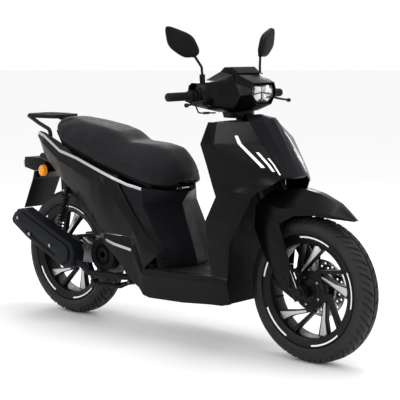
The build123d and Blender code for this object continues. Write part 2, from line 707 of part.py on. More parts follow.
with BuildPart() as brake_lever_left:
    lever(1)
save(brake_lever_left, "brake_lever_left")

MIRROR_YAW = math.radians(17)
MIRROR_OUTLINE = [(-182, 1196), (-184, 1178), (-200, 1166), (-246, 1163), (-312, 1206), (-324, 1268),
                  (-320, 1283), (-304, 1284), (-212, 1252)]


def mirror_head(side):
    """Six-sided mirror housing, yawed so that its outer end is further back."""
    facing = Plane(origin=(264, side * 200, 0), x_dir=(side * -math.sin(MIRROR_YAW), math.cos(MIRROR_YAW), 0),
                   z_dir=(math.cos(MIRROR_YAW), side * math.sin(MIRROR_YAW), 0))
    stretch = 1 / math.cos(MIRROR_YAW)
    outline = [((-side * y - side * 200) * stretch, z) for y, z in MIRROR_OUTLINE]
    with BuildSketch(facing.offset(-6)) as face:
        with BuildLine():
            Polyline(*outline, close=True)
        make_face()
    extrude(to_extrude=face.sketch, amount=10)
    with BuildSketch(facing.offset(4)) as back:
        with BuildLine():
            Polyline(*outline, close=True)
        make_face()
    extrude(to_extrude=back.sketch, amount=14, taper=38)
    with BuildSketch(Plane(origin=(262.6 + 1.2, side * 199, 1170), z_dir=(-0.38, side * 0.52, 1.0))) as socket:
        Circle(9)
    extrude(to_extrude=socket.sketch, amount=16)
    rod((281.0, side * 174.8, 1122), (262.4, side * 199.8, 1171), 5.4, mode=Mode.SUBTRACT)


with BuildPart() as mirror_right:
    mirror_head(-1)
save(mirror_right, "mirror_right")

with BuildPart() as mirror_left:
    mirror_head(1)
save(mirror_left, "mirror_left")

with BuildPart() as turn_switch:
    plan_prism([(239.4, 217), (239.4, 227), (232, 226), (232, 218)], 1009, 1017)
save(turn_switch, "turn_switch")

with BuildPart() as horn_button:
    rod((243, 224, 1000), (234, 224, 1000), 5)
save(horn_button, "horn_button")

with BuildPart() as starter_button:
    rod((243, -224, 1004), (234, -224, 1004), 5)
save(starter_button, "starter_button")

with BuildPart() as ignition_key:
    rod((291, -120, 860), (276, -120, 860), 9)
    side_prism([(277, 852), (250, 850), (250, 870), (277, 868)], -121.5, -118.5)
save(ignition_key, "ignition_key")

# ---------------------------------------------------------------- fork and front wheel
with BuildPart() as fork_legs:
    for side in (1, -1):
        with BuildSketch(steering_plane(-788, side * LEG_Y, 12)) as slider:
            Circle(17)
        extrude(to_extrude=slider.sketch, amount=388)
        with BuildSketch(steering_plane(-790, side * LEG_Y)) as lug:
            with BuildLine():
                Polyline((0, -14), (56, -14), (56, 14), (0, 14), close=True)
            make_face()
        extrude(to_extrude=lug.sketch, amount=46)
        with BuildSketch(steering_plane(-652, side * LEG_Y, 12)) as bore:
            Circle(13.5 + FIT)
        extrude(to_extrude=bore.sketch, amount=300, mode=Mode.SUBTRACT)
    cylinder_y(FRONT_AXLE_X, TYRE_RADIUS, 7, -120, 120, mode=Mode.SUBTRACT)
save(fork_legs, "fork_legs")

with BuildPart() as front_axle:
    cylinder_y(FRONT_AXLE_X, TYRE_RADIUS, 7, -98, 98)
    for side in (1, -1):
        cylinder_y(FRONT_AXLE_X, TYRE_RADIUS, 12, *sorted((side * 90.5, side * 98)))
        cylinder_y(FRONT_AXLE_X, TYRE_RADIUS, 12, *sorted((side * 46, side * 61.5)))
save(front_axle, "front_axle")

# Fender sections by X: centre height, side edge half-width and height, lower edge.
FENDER = [
    (490, 30, 638, 99, 600, 98, 516),
    (512, 30, 650, 100, 622, 99, 524),
    (602, 26, 664, 98, 596, 96, 538),
    (666, 20, 670, 92, 602, 86, 572),
    (740, 16, 656, 84, 600, 78, 580),
    (822, 12, 624, 66, 588, 62, 573),
    (893, 4, 569, 12, 567, 12, 563),
]
with BuildPart() as front_fender:
    panel([(Plane.YZ.offset(x), [(-low_half, low), (-edge_half, edge), (-ridge, top), (ridge, top),
                                 (edge_half, edge), (low_half, low)])
           for x, ridge, top, edge_half, edge, low_half, low in FENDER], -3.5)
    for side in (1, -1):
        side_prism([(490, 600), (484, 511), (533, 412), (590, 330), (634, 290), (664, 296), (656, 397),
                    (604, 540), (540, 560)], *sorted((side * 96, side * 99.5)))
        cylinder_y(586, 450, 9, *sorted((side * 88, side * 97)))
        with BuildSketch(steering_plane(-600, side * LEG_Y, 12)) as clearance:
            Circle(17)
        extrude(to_extrude=clearance.sketch, amount=395, mode=Mode.SUBTRACT)
    cut(fork_legs)
save(front_fender, "front_fender")

with BuildPart() as brake_caliper:
    with BuildSketch(steering_plane(-722, 0)) as body:
        with BuildLine():
            Polyline((-56, 40), (-7, 40), (-7, 74), (-56, 74), close=True)
        make_face()
    extrude(to_extrude=body.sketch, amount=68)
    cylinder_y(FRONT_AXLE_X, TYRE_RADIUS, 117, 48.5, 55.5, mode=Mode.SUBTRACT)
    cylinder_y(FRONT_AXLE_X, TYRE_RADIUS, 76, 38, 60, mode=Mode.SUBTRACT)
    cut(fork_legs)
save(brake_caliper, "brake_caliper")


SPOKE_BLADE = [(34, 58), (112, 14), (174, -28), (184, 2), (180, 18), (128, 30), (42, 70)]
SPOKE_WEB = [(30, 61), (46, 66), (174, 66), (165, 83), (38, 77)]


def rim(x, half_width, hub_half, bore):
    """Cast wheel: barrel, hub and five pairs of spokes."""
    lip = half_width + 4
    wheel_ring(x, [(218, -lip), (218, 6 - lip), (205, 9 - lip), (205, -24), (190, -16), (190, 16), (205, 24),
                   (205, lip - 9), (218, lip - 6), (218, lip), (212, lip + 1), (184, lip - 8), (180, lip - 18),
                   (178, 0), (180, 18 - lip), (184, 8 - lip), (212, -lip - 1)])
    cylinder_y(x, TYRE_RADIUS, 42, -hub_half, hub_half)
    cylinder_y(x, TYRE_RADIUS, 76, -24, -4)
    for count in range(5):
        turn = math.radians(6 + 72 * count)
        for outline in (SPOKE_BLADE, SPOKE_WEB):
            turned = [(x + u * math.cos(turn) - v * math.sin(turn),
                       TYRE_RADIUS + u * math.sin(turn) + v * math.cos(turn)) for u, v in outline]
            side_prism(turned, -28, -4)
    cylinder_y(x, TYRE_RADIUS, bore, -hub_half - 1, hub_half + 1, mode=Mode.SUBTRACT)


def tyre(x, half_width):
    """Hollow tyre with a flat-crowned tread, its beads seated on the rim."""
    bead = half_width * 0.68
    crown = TYRE_RADIUS + CONTACT_DEPTH
    half = [(crown, TREAD_FLAT_HALF), (276, half_width * 0.62), (264, half_width * 0.88), (246, half_width),
            (232, half_width * 0.98), (221, half_width * 0.88), (219, bead - 1), (206, bead - 4)]
    hollow = [(206, bead - 14), (226, bead - 8), (240, half_width - 9), (258, half_width * 0.75),
              (266, half_width * 0.5), (270, TREAD_FLAT_HALF)]
    outer = [(radius, -y) for radius, y in reversed(half)] + half
    inner = hollow + [(radius, -y) for radius, y in reversed(hollow)]
    wheel_ring(x, outer + inner)
    # contact patch pressed flat by the load
    with Locations((x, 0, -CONTACT_DEPTH)):
        Box(half_width, 2 * half_width, 2 * CONTACT_DEPTH, mode=Mode.SUBTRACT)


with BuildPart() as front_rim:
    rim(FRONT_AXLE_X, 42, 45, 7 + FIT)
save(front_rim, "front_rim")

with BuildPart() as front_tyre:
    tyre(FRONT_AXLE_X, FRONT_TYRE_HALF_WIDTH)
save(front_tyre, "front_tyre")

with BuildPart() as brake_disc:
    wheel_ring(FRONT_AXLE_X, [(32, 45.2), (32, 50), (66, 50), (66, 54), (113, 54), (113, 50), (72, 50),
                              (66, 46), (52, 45.2)])
    disc_face = Plane(origin=(FRONT_AXLE_X, 60, TYRE_RADIUS), x_dir=(1, 0, 0), z_dir=(0, -1, 0))
    with BuildSketch(disc_face) as holes:
        for count, radius, turn in ((18, 100, 0), (18, 86, 10)):
            with PolarLocations(radius, count, start_angle=turn):
                Circle(4)
    extrude(to_extrude=holes.sketch, amount=12, mode=Mode.SUBTRACT)
save(brake_disc, "brake_disc")

# ---------------------------------------------------------------- engine unit and rear wheel
with BuildPart() as engine_case:
    side_prism([(-246, 252), (-300, 236), (-358, 240), (-358, 396), (-300, 392), (-246, 352)], -98, 70)
    side_prism([(-356, 240), (-400, 240), (-430, 300), (-420, 372), (-380, 402), (-356, 396)], -98, -66)
    # pivot lug and the cheeks of the centre stand
    side_prism([(-207, 280), (-207, 320), (-260, 340), (-260, 262)], -78, 78)
    for side in (1, -1):
        side_prism([(-207, 300), (-262, 300), (-262, 250), (-228, 192), (-203, 192), (-207, 230)],
                   *sorted((side * 72, side * 78)))
    # right-hand arm to the axle and shock
    side_prism([(-400, 262), (-660, 256), (-680, 281), (-662, 300), (-640, 372), (-628, 372), (-600, 320),
                (-424, 350)], -90, -74)
    side_prism([(-628, 352), (-640, 372), (-664, 360), (-668, 334), (-640, 325)], -90, -74)
    # left-hand case from the crank to the axle
    side_prism([(-300, 236), (-600, 236), (-668, 232), (-700, 262), (-700, 300), (-672, 332), (-670, 358),
                (-634, 364), (-590, 330), (-424, 372), (-300, 396)], 72, 90)
    side_prism([(-300, 240), (-352, 240), (-352, 392), (-300, 392)], 68, 74)
    for side in (1, -1):
        cylinder_y(*SHOCK_LOW, 6, *sorted((side * 88, side * 128)))
    cylinder_y(*CENTRE_STAND_PIVOT, 6, -100, 100)
    cylinder_y(SWING_X, SWING_Z, 7 + FIT, -90, 90, mode=Mode.SUBTRACT)
    cylinder_y(REAR_AXLE_X, TYRE_RADIUS, 8 + FIT, -100, 100, mode=Mode.SUBTRACT)
save(engine_case, "engine_case")

with BuildPart() as engine_shrouds:
    side_prism([(-204, 256), (-140, 248), (-92, 262), (-84, 330), (-110, 356), (-204, 366)], -70, 62)
    # fan cowl with its intake
    cylinder_y(-331, 316, 72, -142, -98.5)
    cylinder_y(-331, 316, 46, -144, -126, mode=Mode.SUBTRACT)
    cut(engine_case)
save(engine_shrouds, "engine_shrouds")

BELT_FRONT = (-330.0, 300.0, 74.0)
BELT_REAR = (-615.0, 285.0, 50.0)
with BuildPart() as cvt_cover:
    with BuildSketch(Plane.XZ.offset(-158)) as belt_case:
        for x, z, radius in (BELT_FRONT, BELT_REAR):
            with Locations((x, z)):
                Circle(radius)
        with BuildLine():
            Polyline((-330, 374), (-615, 335), (-615, 235), (-330, 226), close=True)
        make_face()
    extrude(to_extrude=belt_case.sketch, amount=66)
    cut(engine_case)
save(cvt_cover, "cvt_cover")

KICK_Y = 159.0
with BuildPart() as kick_lever:
    cylinder_y(*KICK_PIVOT, 14, KICK_Y, KICK_Y + 14)
    side_prism([(-326, 290), (-324, 310), (-462, 352), (-470, 338)], KICK_Y + 2, KICK_Y + 12)
    cylinder_y(-462, 343, 8, KICK_Y + 2, KICK_Y + 46)
save(kick_lever, "kick_lever")

with BuildPart() as muffler:
    side_prism([(-436, 262), (-426, 322), (-446, 362), (-764, 488), (-800, 482), (-830, 444), (-826, 414),
                (-724, 352), (-486, 248)], -228, -152)
    fillet(muffler.edges().filter_by(Plane.XZ), 14)
    tube([(-140, -40, 251), (-152, -66, 232), (-236, -128, 230), (-380, -170, 236), (-446, -190, 290)], 14, 24)
    # heat guard with its two screws
    side_prism([(-462, 352), (-764, 474), (-796, 470), (-818, 440), (-812, 422), (-716, 364), (-492, 266),
                (-452, 290), (-446, 330)], -238, -229)
    side_prism([(-520, 322), (-700, 396), (-724, 392), (-700, 376), (-530, 300)], -240, -233,
               mode=Mode.SUBTRACT)
    for x, z in ((-776, 446), (-560, 344)):
        cylinder_y(x, z, 7, -242, -234)
    cut(engine_shrouds, engine_case)
save(muffler, "muffler")

with BuildPart() as rear_rim:
    rim(REAR_AXLE_X, 44, 70, 8)
    cylinder_y(REAR_AXLE_X, TYRE_RADIUS, 68, 8, 70)
    # axle, turning with the wheel in the engine case
    cylinder_y(REAR_AXLE_X, TYRE_RADIUS, 8, -98, 91)
    cylinder_y(REAR_AXLE_X, TYRE_RADIUS, 13, -101, -93)
save(rear_rim, "rear_rim")

with BuildPart() as rear_tyre:
    tyre(REAR_AXLE_X, REAR_TYRE_HALF_WIDTH)
save(rear_tyre, "rear_tyre")

# ---------------------------------------------------------------- rear shocks
SHOCK_LINE = Vector(SHOCK_LOW[0] - SHOCK_TOP[0], 0, SHOCK_LOW[1] - SHOCK_TOP[1])
SHOCK_LENGTH = SHOCK_LINE.length
SHOCK_UNIT = SHOCK_LINE.normalized()


def shock_point(distance, side):
    """Point of a shock's axis, by its distance below the upper eye."""
    place = Vector(SHOCK_TOP[0], side * SHOCK_Y, SHOCK_TOP[1]) + SHOCK_UNIT * distance
    return (place.X, place.Y, place.Z)


with BuildPart() as shock_bodies:
    for side in (1, -1):
        cylinder_y(*SHOCK_TOP, 13, *sorted((side * 99, side * 125)))
        rod(shock_point(8, side), shock_point(24, side), 9)
        rod(shock_point(24, side), shock_point(32, side), 20.5)
        rod(shock_point(32, side), shock_point(150, side), 10)
        rod(shock_point(34, side), shock_point(151, side), 6.2, mode=Mode.SUBTRACT)
    cylinder_y(*SHOCK_TOP, 5 + FIT, -140, 140, mode=Mode.SUBTRACT)
save(shock_bodies, "shock_bodies")

with BuildPart() as shock_rods:
    for side in (1, -1):
        rod(shock_point(110, side), shock_point(SHOCK_LENGTH - 12, side), 6)
        rod(shock_point(214, side), shock_point(222, side), 20.5)
        rod(shock_point(219, side), shock_point(SHOCK_LENGTH - 8, side), 9)
        cylinder_y(*SHOCK_LOW, 14, *sorted((side * 100, side * 124)))
    cylinder_y(*SHOCK_LOW, 7.5, -140, 140, mode=Mode.SUBTRACT)
save(shock_rods, "shock_rods")

with BuildPart() as shock_springs:
    for side in (1, -1):
        rod(shock_point(32.5, side), shock_point(213.5, side), 20)
        rod(shock_point(32, side), shock_point(214, side), 14, mode=Mode.SUBTRACT)
save(shock_springs, "shock_springs")

# ---------------------------------------------------------------- stands
with BuildPart() as centre_stand:
    x, z = CENTRE_STAND_PIVOT
    for side in (1, -1):
        cylinder_y(x, z, 12, *sorted((side * 80, side * 96)))
        tube([(x, side * 88, z), (x - 55, side * 94, z - 26), (x - 158, side * 120, z - 25),
              (x - 190, side * 122, z - 14)], 9, 30)
        rod((x - 184, side * 110, z - 14), (x - 184, side * 140, z - 14), 11)
    rod((x - 90, -98, z - 26), (x - 90, 98, z - 26), 8)
    cylinder_y(x, z, 6 + FIT, -120, 120, mode=Mode.SUBTRACT)
save(centre_stand, "centre_stand")

with BuildPart() as side_stand:
    x, y, z = SIDE_STAND_PIVOT
    rod((x, y - 12, z - 6.2), (x, y + 4, z + 2), 11)
    rod((x - 8, y, z), (x - 182, y, z), 8)
    plan_prism([(x - 168, y - 12), (x - 196, y - 12), (x - 196, y + 14), (x - 168, y + 14)], z - 6, z + 4)
    rod((x, 122, 170.6), (x, 160, 190.1), 5 + FIT, mode=Mode.SUBTRACT)
save(side_stand, "side_stand")
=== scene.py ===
import math

import bmesh
import bpy
import numpy as np
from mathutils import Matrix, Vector
from mathutils.bvhtree import BVHTree


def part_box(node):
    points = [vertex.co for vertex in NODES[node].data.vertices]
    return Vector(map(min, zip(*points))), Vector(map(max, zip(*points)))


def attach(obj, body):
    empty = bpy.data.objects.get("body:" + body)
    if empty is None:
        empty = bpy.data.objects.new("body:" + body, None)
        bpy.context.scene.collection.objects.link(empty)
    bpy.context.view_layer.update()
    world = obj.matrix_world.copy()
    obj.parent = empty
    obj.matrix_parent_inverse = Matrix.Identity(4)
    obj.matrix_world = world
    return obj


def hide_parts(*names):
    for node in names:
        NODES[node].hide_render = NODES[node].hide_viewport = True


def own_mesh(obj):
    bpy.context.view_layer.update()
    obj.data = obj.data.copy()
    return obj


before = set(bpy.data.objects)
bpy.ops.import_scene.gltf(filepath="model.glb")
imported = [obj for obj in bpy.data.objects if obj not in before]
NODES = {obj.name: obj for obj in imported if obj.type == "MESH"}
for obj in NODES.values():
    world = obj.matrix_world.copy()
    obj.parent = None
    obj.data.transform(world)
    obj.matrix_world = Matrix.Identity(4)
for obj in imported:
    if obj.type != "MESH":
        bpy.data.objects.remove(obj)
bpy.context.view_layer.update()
MM = 0.001

# Axle places in X and Z, and the rake of the steering axis.
FRONT_AXLE = (0.699, 0.281)
REAR_AXLE = (-0.651, 0.281)
RAKE = math.radians(26.5)

# Corners closer than this are one corner; edges sharper than these are rounded and shaded sharp.
WELD_DISTANCE = 0.00002
FLAT_ANGLE = math.radians(0.4)
ROUND_ANGLE = math.radians(22)
SHARP_ANGLE = math.radians(32)


# ---------------------------------------------------------------- materials
def new_material(name):
    """Empty material with its shader and texture coordinates."""
    material = bpy.data.materials.new(name)
    material.use_nodes = True
    tree = material.node_tree
    shader = tree.nodes["Principled BSDF"]
    coords = tree.nodes.new("ShaderNodeTexCoord")
    return material, tree, shader, coords


def noise(tree, coords, scale, detail=3.0, rough=0.5, stretch=None):
    """Noise in the object's own coordinates; stretch draws it out along an axis."""
    node = tree.nodes.new("ShaderNodeTexNoise")
    node.inputs["Scale"].default_value = scale
    node.inputs["Detail"].default_value = detail
    node.inputs["Roughness"].default_value = rough
    if stretch:
        mapping = tree.nodes.new("ShaderNodeMapping")
        mapping.inputs["Scale"].default_value = stretch
        tree.links.new(coords.outputs["Object"], mapping.inputs["Vector"])
        tree.links.new(mapping.outputs["Vector"], node.inputs["Vector"])
    else:
        tree.links.new(coords.outputs["Object"], node.inputs["Vector"])
    return node.outputs["Fac"]


def ramp(tree, source, stops):
    """Colour ramp with (place, colour) stops."""
    node = tree.nodes.new("ShaderNodeValToRGB")
    elements = node.color_ramp.elements
    while len(elements) < len(stops):
        elements.new(0.5)
    for element, (place, color) in zip(elements, stops):
        element.position = place
        element.color = (*color, 1.0)
    tree.links.new(source, node.inputs["Fac"])
    return node.outputs["Color"]


def bump(tree, shader, sources):
    """Chain of bumps: (height socket, strength, distance in metres)."""
    last = None
    for height, strength, distance in sources:
        node = tree.nodes.new("ShaderNodeBump")
        node.inputs["Strength"].default_value = strength
        node.inputs["Distance"].default_value = distance
        tree.links.new(height, node.inputs["Height"])
        if last is not None:
            tree.links.new(last, node.inputs["Normal"])
        last = node.outputs["Normal"]
    tree.links.new(last, shader.inputs["Normal"])


def surface(name, low, high, rough, grain=900.0, grain_depth=0.00003, wave=None, metal=0.0, coat=0.0,
            blotch=9.0, rough_spread=0.08, specular=0.5, stretch=None):
    """Material whose colour, roughness and grain all vary a little over the surface."""
    material, tree, shader, coords = new_material(name)
    wide = noise(tree, coords, blotch, 5.0, 0.6, stretch)
    tree.links.new(ramp(tree, wide, [(0.3, low), (0.7, high)]), shader.inputs["Base Color"])
    fine = noise(tree, coords, grain, 2.0, 0.5, stretch)
    smudge = noise(tree, coords, blotch * 3.1, 4.0, 0.65)
    spread = tree.nodes.new("ShaderNodeMapRange")
    spread.inputs["From Min"].default_value = 0.3
    spread.inputs["From Max"].default_value = 0.7
    spread.inputs["To Min"].default_value = rough - rough_spread
    spread.inputs["To Max"].default_value = rough + rough_spread
    tree.links.new(smudge, spread.inputs["Value"])
    tree.links.new(spread.outputs["Result"], shader.inputs["Roughness"])
    shader.inputs["Metallic"].default_value = metal
    shader.inputs["Coat Weight"].default_value = coat
    shader.inputs["Coat Roughness"].default_value = 0.08
    shader.inputs["Specular IOR Level"].default_value = specular
    layers = [(fine, 0.5, grain_depth)]
    if wave:
        layers.append((noise(tree, coords, wave[0], 2.0), 0.4, wave[1]))
    bump(tree, shader, layers)
    return material


def leather(name, low, high):
    """Grained vinyl: a net of fine creases with pores between them."""
    material, tree, shader, coords = new_material(name)
    wide = noise(tree, coords, 7.0, 4.0)
    tree.links.new(ramp(tree, wide, [(0.3, low), (0.7, high)]), shader.inputs["Base Color"])
    cells = tree.nodes.new("ShaderNodeTexVoronoi")
    cells.feature = "DISTANCE_TO_EDGE"
    cells.inputs["Scale"].default_value = 420.0
    tree.links.new(coords.outputs["Object"], cells.inputs["Vector"])
    pores = noise(tree, coords, 1500.0, 2.0)
    bump(tree, shader, [(cells.outputs["Distance"], 0.55, 0.00022), (pores, 0.3, 0.00005)])
    rough = noise(tree, coords, 30.0, 4.0)
    spread = tree.nodes.new("ShaderNodeMapRange")
    spread.inputs["To Min"].default_value = 0.50
    spread.inputs["To Max"].default_value = 0.72
    tree.links.new(rough, spread.inputs["Value"])
    tree.links.new(spread.outputs["Result"], shader.inputs["Roughness"])
    shader.inputs["Sheen Weight"].default_value = 0.02
    shader.inputs["Specular IOR Level"].default_value = 0.13
    return material


def clear(name):
    """Clear moulding with a little dust."""
    material, tree, shader, coords = new_material(name)
    shader.inputs["Base Color"].default_value = (1, 1, 1, 1)
    shader.inputs["Transmission Weight"].default_value = 1.0
    shader.inputs["IOR"].default_value = 1.45
    dust = noise(tree, coords, 60.0, 4.0)
    spread = tree.nodes.new("ShaderNodeMapRange")
    spread.inputs["To Min"].default_value = 0.04
    spread.inputs["To Max"].default_value = 0.12
    tree.links.new(dust, spread.inputs["Value"])
    tree.links.new(spread.outputs["Result"], shader.inputs["Roughness"])
    bump(tree, shader, [(noise(tree, coords, 300.0), 0.2, 0.00002)])
    return material


def lens(name, low, high, glow):
    """Fluted coloured lens."""
    material, tree, shader, coords = new_material(name)
    flutes = tree.nodes.new("ShaderNodeTexWave")
    flutes.wave_type = "BANDS"
    flutes.bands_direction = "Z"
    flutes.inputs["Scale"].default_value = 45.0
    tree.links.new(coords.outputs["Object"], flutes.inputs["Vector"])
    tree.links.new(ramp(tree, flutes.outputs["Fac"], [(0.0, low), (1.0, high)]),
                   shader.inputs["Base Color"])
    shader.inputs["Roughness"].default_value = 0.12
    shader.inputs["Subsurface Weight"].default_value = 0.1
    shader.inputs["Subsurface Radius"].default_value = (0.01, 0.004, 0.002)
    shader.inputs["Coat Weight"].default_value = 0.2
    shader.inputs["Specular IOR Level"].default_value = 0.25
    shader.inputs["Emission Color"].default_value = (*high, 1)
    shader.inputs["Emission Strength"].default_value = glow
    bump(tree, shader, [(flutes.outputs["Fac"], 0.4, 0.0004)])
    return material


MAT = {
    "paint": surface("paint_satin_black", (0.0016, 0.0015, 0.0012), (0.0026, 0.0024, 0.0020), 0.24, 2400,
                     0.000006, (160, 0.00003), coat=0.02, rough_spread=0.04, specular=0.10),
    "plastic": surface("moulded_plastic", (0.0046, 0.0049, 0.0066), (0.0070, 0.0073, 0.0096), 0.44, 1300,
                       0.00006, (60, 0.00004), specular=0.09),
    # Black plastic; on the tunnel strips it is also the painted shade of the tunnel's grooves.
    "black_and_groove_shade": surface("black_plastic", (0.0030, 0.0030, 0.0034), (0.0052, 0.0052, 0.0060), 0.50, 1100,
                     0.00006, specular=0.09),
    "vinyl": leather("saddle_vinyl", (0.0062, 0.0061, 0.0078), (0.0100, 0.0099, 0.0122)),
    "thread": surface("stitching_thread", (0.020, 0.020, 0.022), (0.034, 0.034, 0.036), 0.8, 3000, 0.0001,
                      specular=0.2),
    "rubber": surface("grip_rubber", (0.0034, 0.0034, 0.0038), (0.0060, 0.0060, 0.0066), 0.64, 1500,
                      0.00009, specular=0.16),
    "tyre": surface("tyre_rubber", (0.0090, 0.0090, 0.0092), (0.0165, 0.0163, 0.0160), 0.58, 800, 0.00012,
                    (70, 0.0001), specular=0.26),
    "strip": surface("bright_trim", (0.34, 0.35, 0.38), (0.52, 0.53, 0.56), 0.34, 1200, 0.00002, metal=0.75,
                     stretch=(0.2, 1, 1)),
    "white": surface("light_bar_white", (0.80, 0.81, 0.84), (0.94, 0.94, 0.96), 0.16, 900, 0.00001,
                     coat=0.5),
    "steel": surface("brushed_steel", (0.32, 0.33, 0.35), (0.50, 0.51, 0.53), 0.28, 700, 0.00004, metal=1.0,
                     stretch=(1, 0.08, 1)),
    "disc": surface("disc_steel", (0.30, 0.30, 0.31), (0.48, 0.48, 0.49), 0.30, 1100, 0.00004, metal=1.0),
    "cast": surface("cast_alloy", (0.070, 0.074, 0.080), (0.135, 0.140, 0.150), 0.48, 500, 0.00018,
                    (90, 0.0002), metal=0.8),
    "rim": surface("rim_black", (0.0030, 0.0030, 0.0034), (0.0050, 0.0050, 0.0056), 0.36, 1500, 0.00003,
                   coat=0.02, specular=0.14),
    # Machined metal of the spoke faces; the same bright metal paints the fork sliders' highlight line.
    "machined_and_highlight": surface("machined_face_and_painted_highlight", (0.40, 0.41, 0.42), (0.60, 0.61, 0.62), 0.34, 1600, 0.00003,
                        metal=0.9, stretch=(1, 1, 0.15)),
    "frame": surface("frame_black", (0.0034, 0.0034, 0.0038), (0.0060, 0.0060, 0.0066), 0.42, 900, 0.00006,
                     specular=0.13),
    "muffler": surface("muffler_paint", (0.0042, 0.0050, 0.0075), (0.0064, 0.0076, 0.0110), 0.42, 700,
                       0.0001, (60, 0.0001), specular=0.12),
    "chrome": surface("reflector_chrome", (0.74, 0.75, 0.78), (0.90, 0.91, 0.93), 0.12, 500, 0.00002,
                      metal=1.0, rough_spread=0.03),
    "glass": clear("lens_clear"),
    "screen": surface("display_dark", (0.002, 0.003, 0.004), (0.004, 0.005, 0.007), 0.12, 900, 0.00001,
                      coat=0.3, specular=0.3),
    "red": lens("lens_red", (0.10, 0.002, 0.002), (0.30, 0.006, 0.006), 0.03),
    "amber": lens("lens_amber", (0.55, 0.13, 0.005), (0.95, 0.33, 0.02), 0.25),
    "mirror": surface("mirror_glass", (0.80, 0.82, 0.84), (0.90, 0.91, 0.92), 0.03, 400, 0.000002,
                      metal=1.0, rough_spread=0.01),
}


# ---------------------------------------------------------------- mesh helpers
def smooth_group():
    """Node group that drops stored normals and shades smooth between sharp edges."""
    group = bpy.data.node_groups.new("smooth_by_angle", "GeometryNodeTree")
    group.interface.new_socket("Geometry", in_out="INPUT", socket_type="NodeSocketGeometry")
    group.interface.new_socket("Geometry", in_out="OUTPUT", socket_type="NodeSocketGeometry")
    source = group.nodes.new("NodeGroupInput")
    sink = group.nodes.new("NodeGroupOutput")
    drop = group.nodes.new("GeometryNodeRemoveAttribute")
    drop.inputs["Name"].default_value = "custom_normal"
    faces = group.nodes.new("GeometryNodeSetShadeSmooth")
    faces.inputs["Shade Smooth"].default_value = True
    edges = group.nodes.new("GeometryNodeSetShadeSmooth")
    edges.domain = "EDGE"
    edges.inputs["Shade Smooth"].default_value = False
    angle = group.nodes.new("GeometryNodeInputMeshEdgeAngle")
    over = group.nodes.new("FunctionNodeCompare")
    over.operation = "GREATER_THAN"
    over.inputs["B"].default_value = SHARP_ANGLE
    link = group.links.new
    link(source.outputs[0], drop.inputs["Geometry"])
    link(drop.outputs["Geometry"], faces.inputs["Geometry"])
    link(faces.outputs["Geometry"], edges.inputs["Geometry"])
    link(angle.outputs["Unsigned Angle"], over.inputs["A"])
    link(over.outputs["Result"], edges.inputs["Selection"])
    link(edges.outputs["Geometry"], sink.inputs[0])
    return group


SMOOTH = smooth_group()


def finish_edges(obj, width, segments=3):
    """Merged corners, a small round on each edge and clean shading."""
    weld = obj.modifiers.new("weld", "WELD")
    weld.merge_threshold = WELD_DISTANCE
    flat = obj.modifiers.new("flat", "DECIMATE")
    flat.decimate_type = "DISSOLVE"
    flat.angle_limit = FLAT_ANGLE
    if width:
        edge = obj.modifiers.new("edge", "BEVEL")
        edge.width = width
        edge.segments = segments
        edge.limit_method = "ANGLE"
        edge.angle_limit = ROUND_ANGLE
        edge.use_clamp_overlap = True
    shade = obj.modifiers.new("shade", "NODES")
    shade.node_group = SMOOTH


def paint(obj, key):
    """The object's only material."""
    obj.data.materials.clear()
    obj.data.materials.append(MAT[key])


def dress(node, key, width):
    """A CAD node keeps its shape and gets its material and rounded edges."""
    obj = NODES[node]
    paint(obj, key)
    finish_edges(obj, width)


def build(name, verts, faces, key, body, width=0.0):
    """Piece from its points and faces, with its material and body; width rounds its edges."""
    mesh = bpy.data.meshes.new(name)
    mesh.from_pydata([tuple(v) for v in verts], [], [tuple(f) for f in faces])
    mesh.update()
    work = bmesh.new()
    work.from_mesh(mesh)
    bmesh.ops.recalc_face_normals(work, faces=work.faces)
    work.to_mesh(mesh)
    work.free()
    obj = bpy.data.objects.new(name, mesh)
    bpy.context.scene.collection.objects.link(obj)
    if width:
        finish_edges(obj, width, 2)
    else:
        shade = obj.modifiers.new("shade", "NODES")
        shade.node_group = SMOOTH
    paint(obj, key)
    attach(obj, body)
    return obj


def grid_faces(rows, columns, wrap_rows=False, start=0):
    """Faces between rows of points, each row a closed ring."""
    faces = []
    for i in range(rows if wrap_rows else rows - 1):
        for j in range(columns):
            a, b = i * columns, ((i + 1) % rows) * columns
            k = (j + 1) % columns
            faces.append((start + a + j, start + a + k, start + b + k, start + b + j))
    return faces


def axes_of(direction):
    """Unit vector along the direction and two square to it."""
    along = Vector(direction).normalized()
    side = along.orthogonal().normalized()
    return along, side, along.cross(side)


def turn_form(verts, faces, origin, direction, profile, steps):
    """Adds a closed turned form: (radius, distance along the axis) in mm, capped at both ends."""
    along, side, up = axes_of(direction)
    origin = Vector(origin)
    first = len(verts)
    last = first + (len(profile) - 1) * steps
    for radius, distance in profile:
        for j in range(steps):
            t = 2 * math.pi * j / steps
            verts.append(origin + along * distance * MM
                         + (side * math.cos(t) + up * math.sin(t)) * radius * MM)
    faces += grid_faces(len(profile), steps, start=first)
    faces.append(tuple(range(first, first + steps)))
    faces.append(tuple(reversed(range(last, last + steps))))


def lathe(name, origin, direction, profile, key, body, steps):
    """Turned piece."""
    verts, faces = [], []
    turn_form(verts, faces, origin, direction, profile, steps)
    return build(name, verts, faces, key, body)


def prism(verts, faces, outline, lift, offset):
    """Adds a plate: outline points moved by the lift and offset vectors."""
    first = len(verts)
    n = len(outline)
    for shift in (offset, offset + lift):
        verts += [Vector(p) + shift for p in outline]
    faces.append(tuple(first + i for i in range(n)))
    faces.append(tuple(first + n + i for i in reversed(range(n))))
    for i in range(n):
        k = (i + 1) % n
        faces.append((first + i, first + k, first + n + k, first + n + i))


def wheel_point(axle, radius, turn, y):
    """Point of a wheel by its radius and y in mm and its turn round the axle."""
    return Vector((axle[0] + radius * MM * math.cos(turn), y * MM, axle[1] + radius * MM * math.sin(turn)))


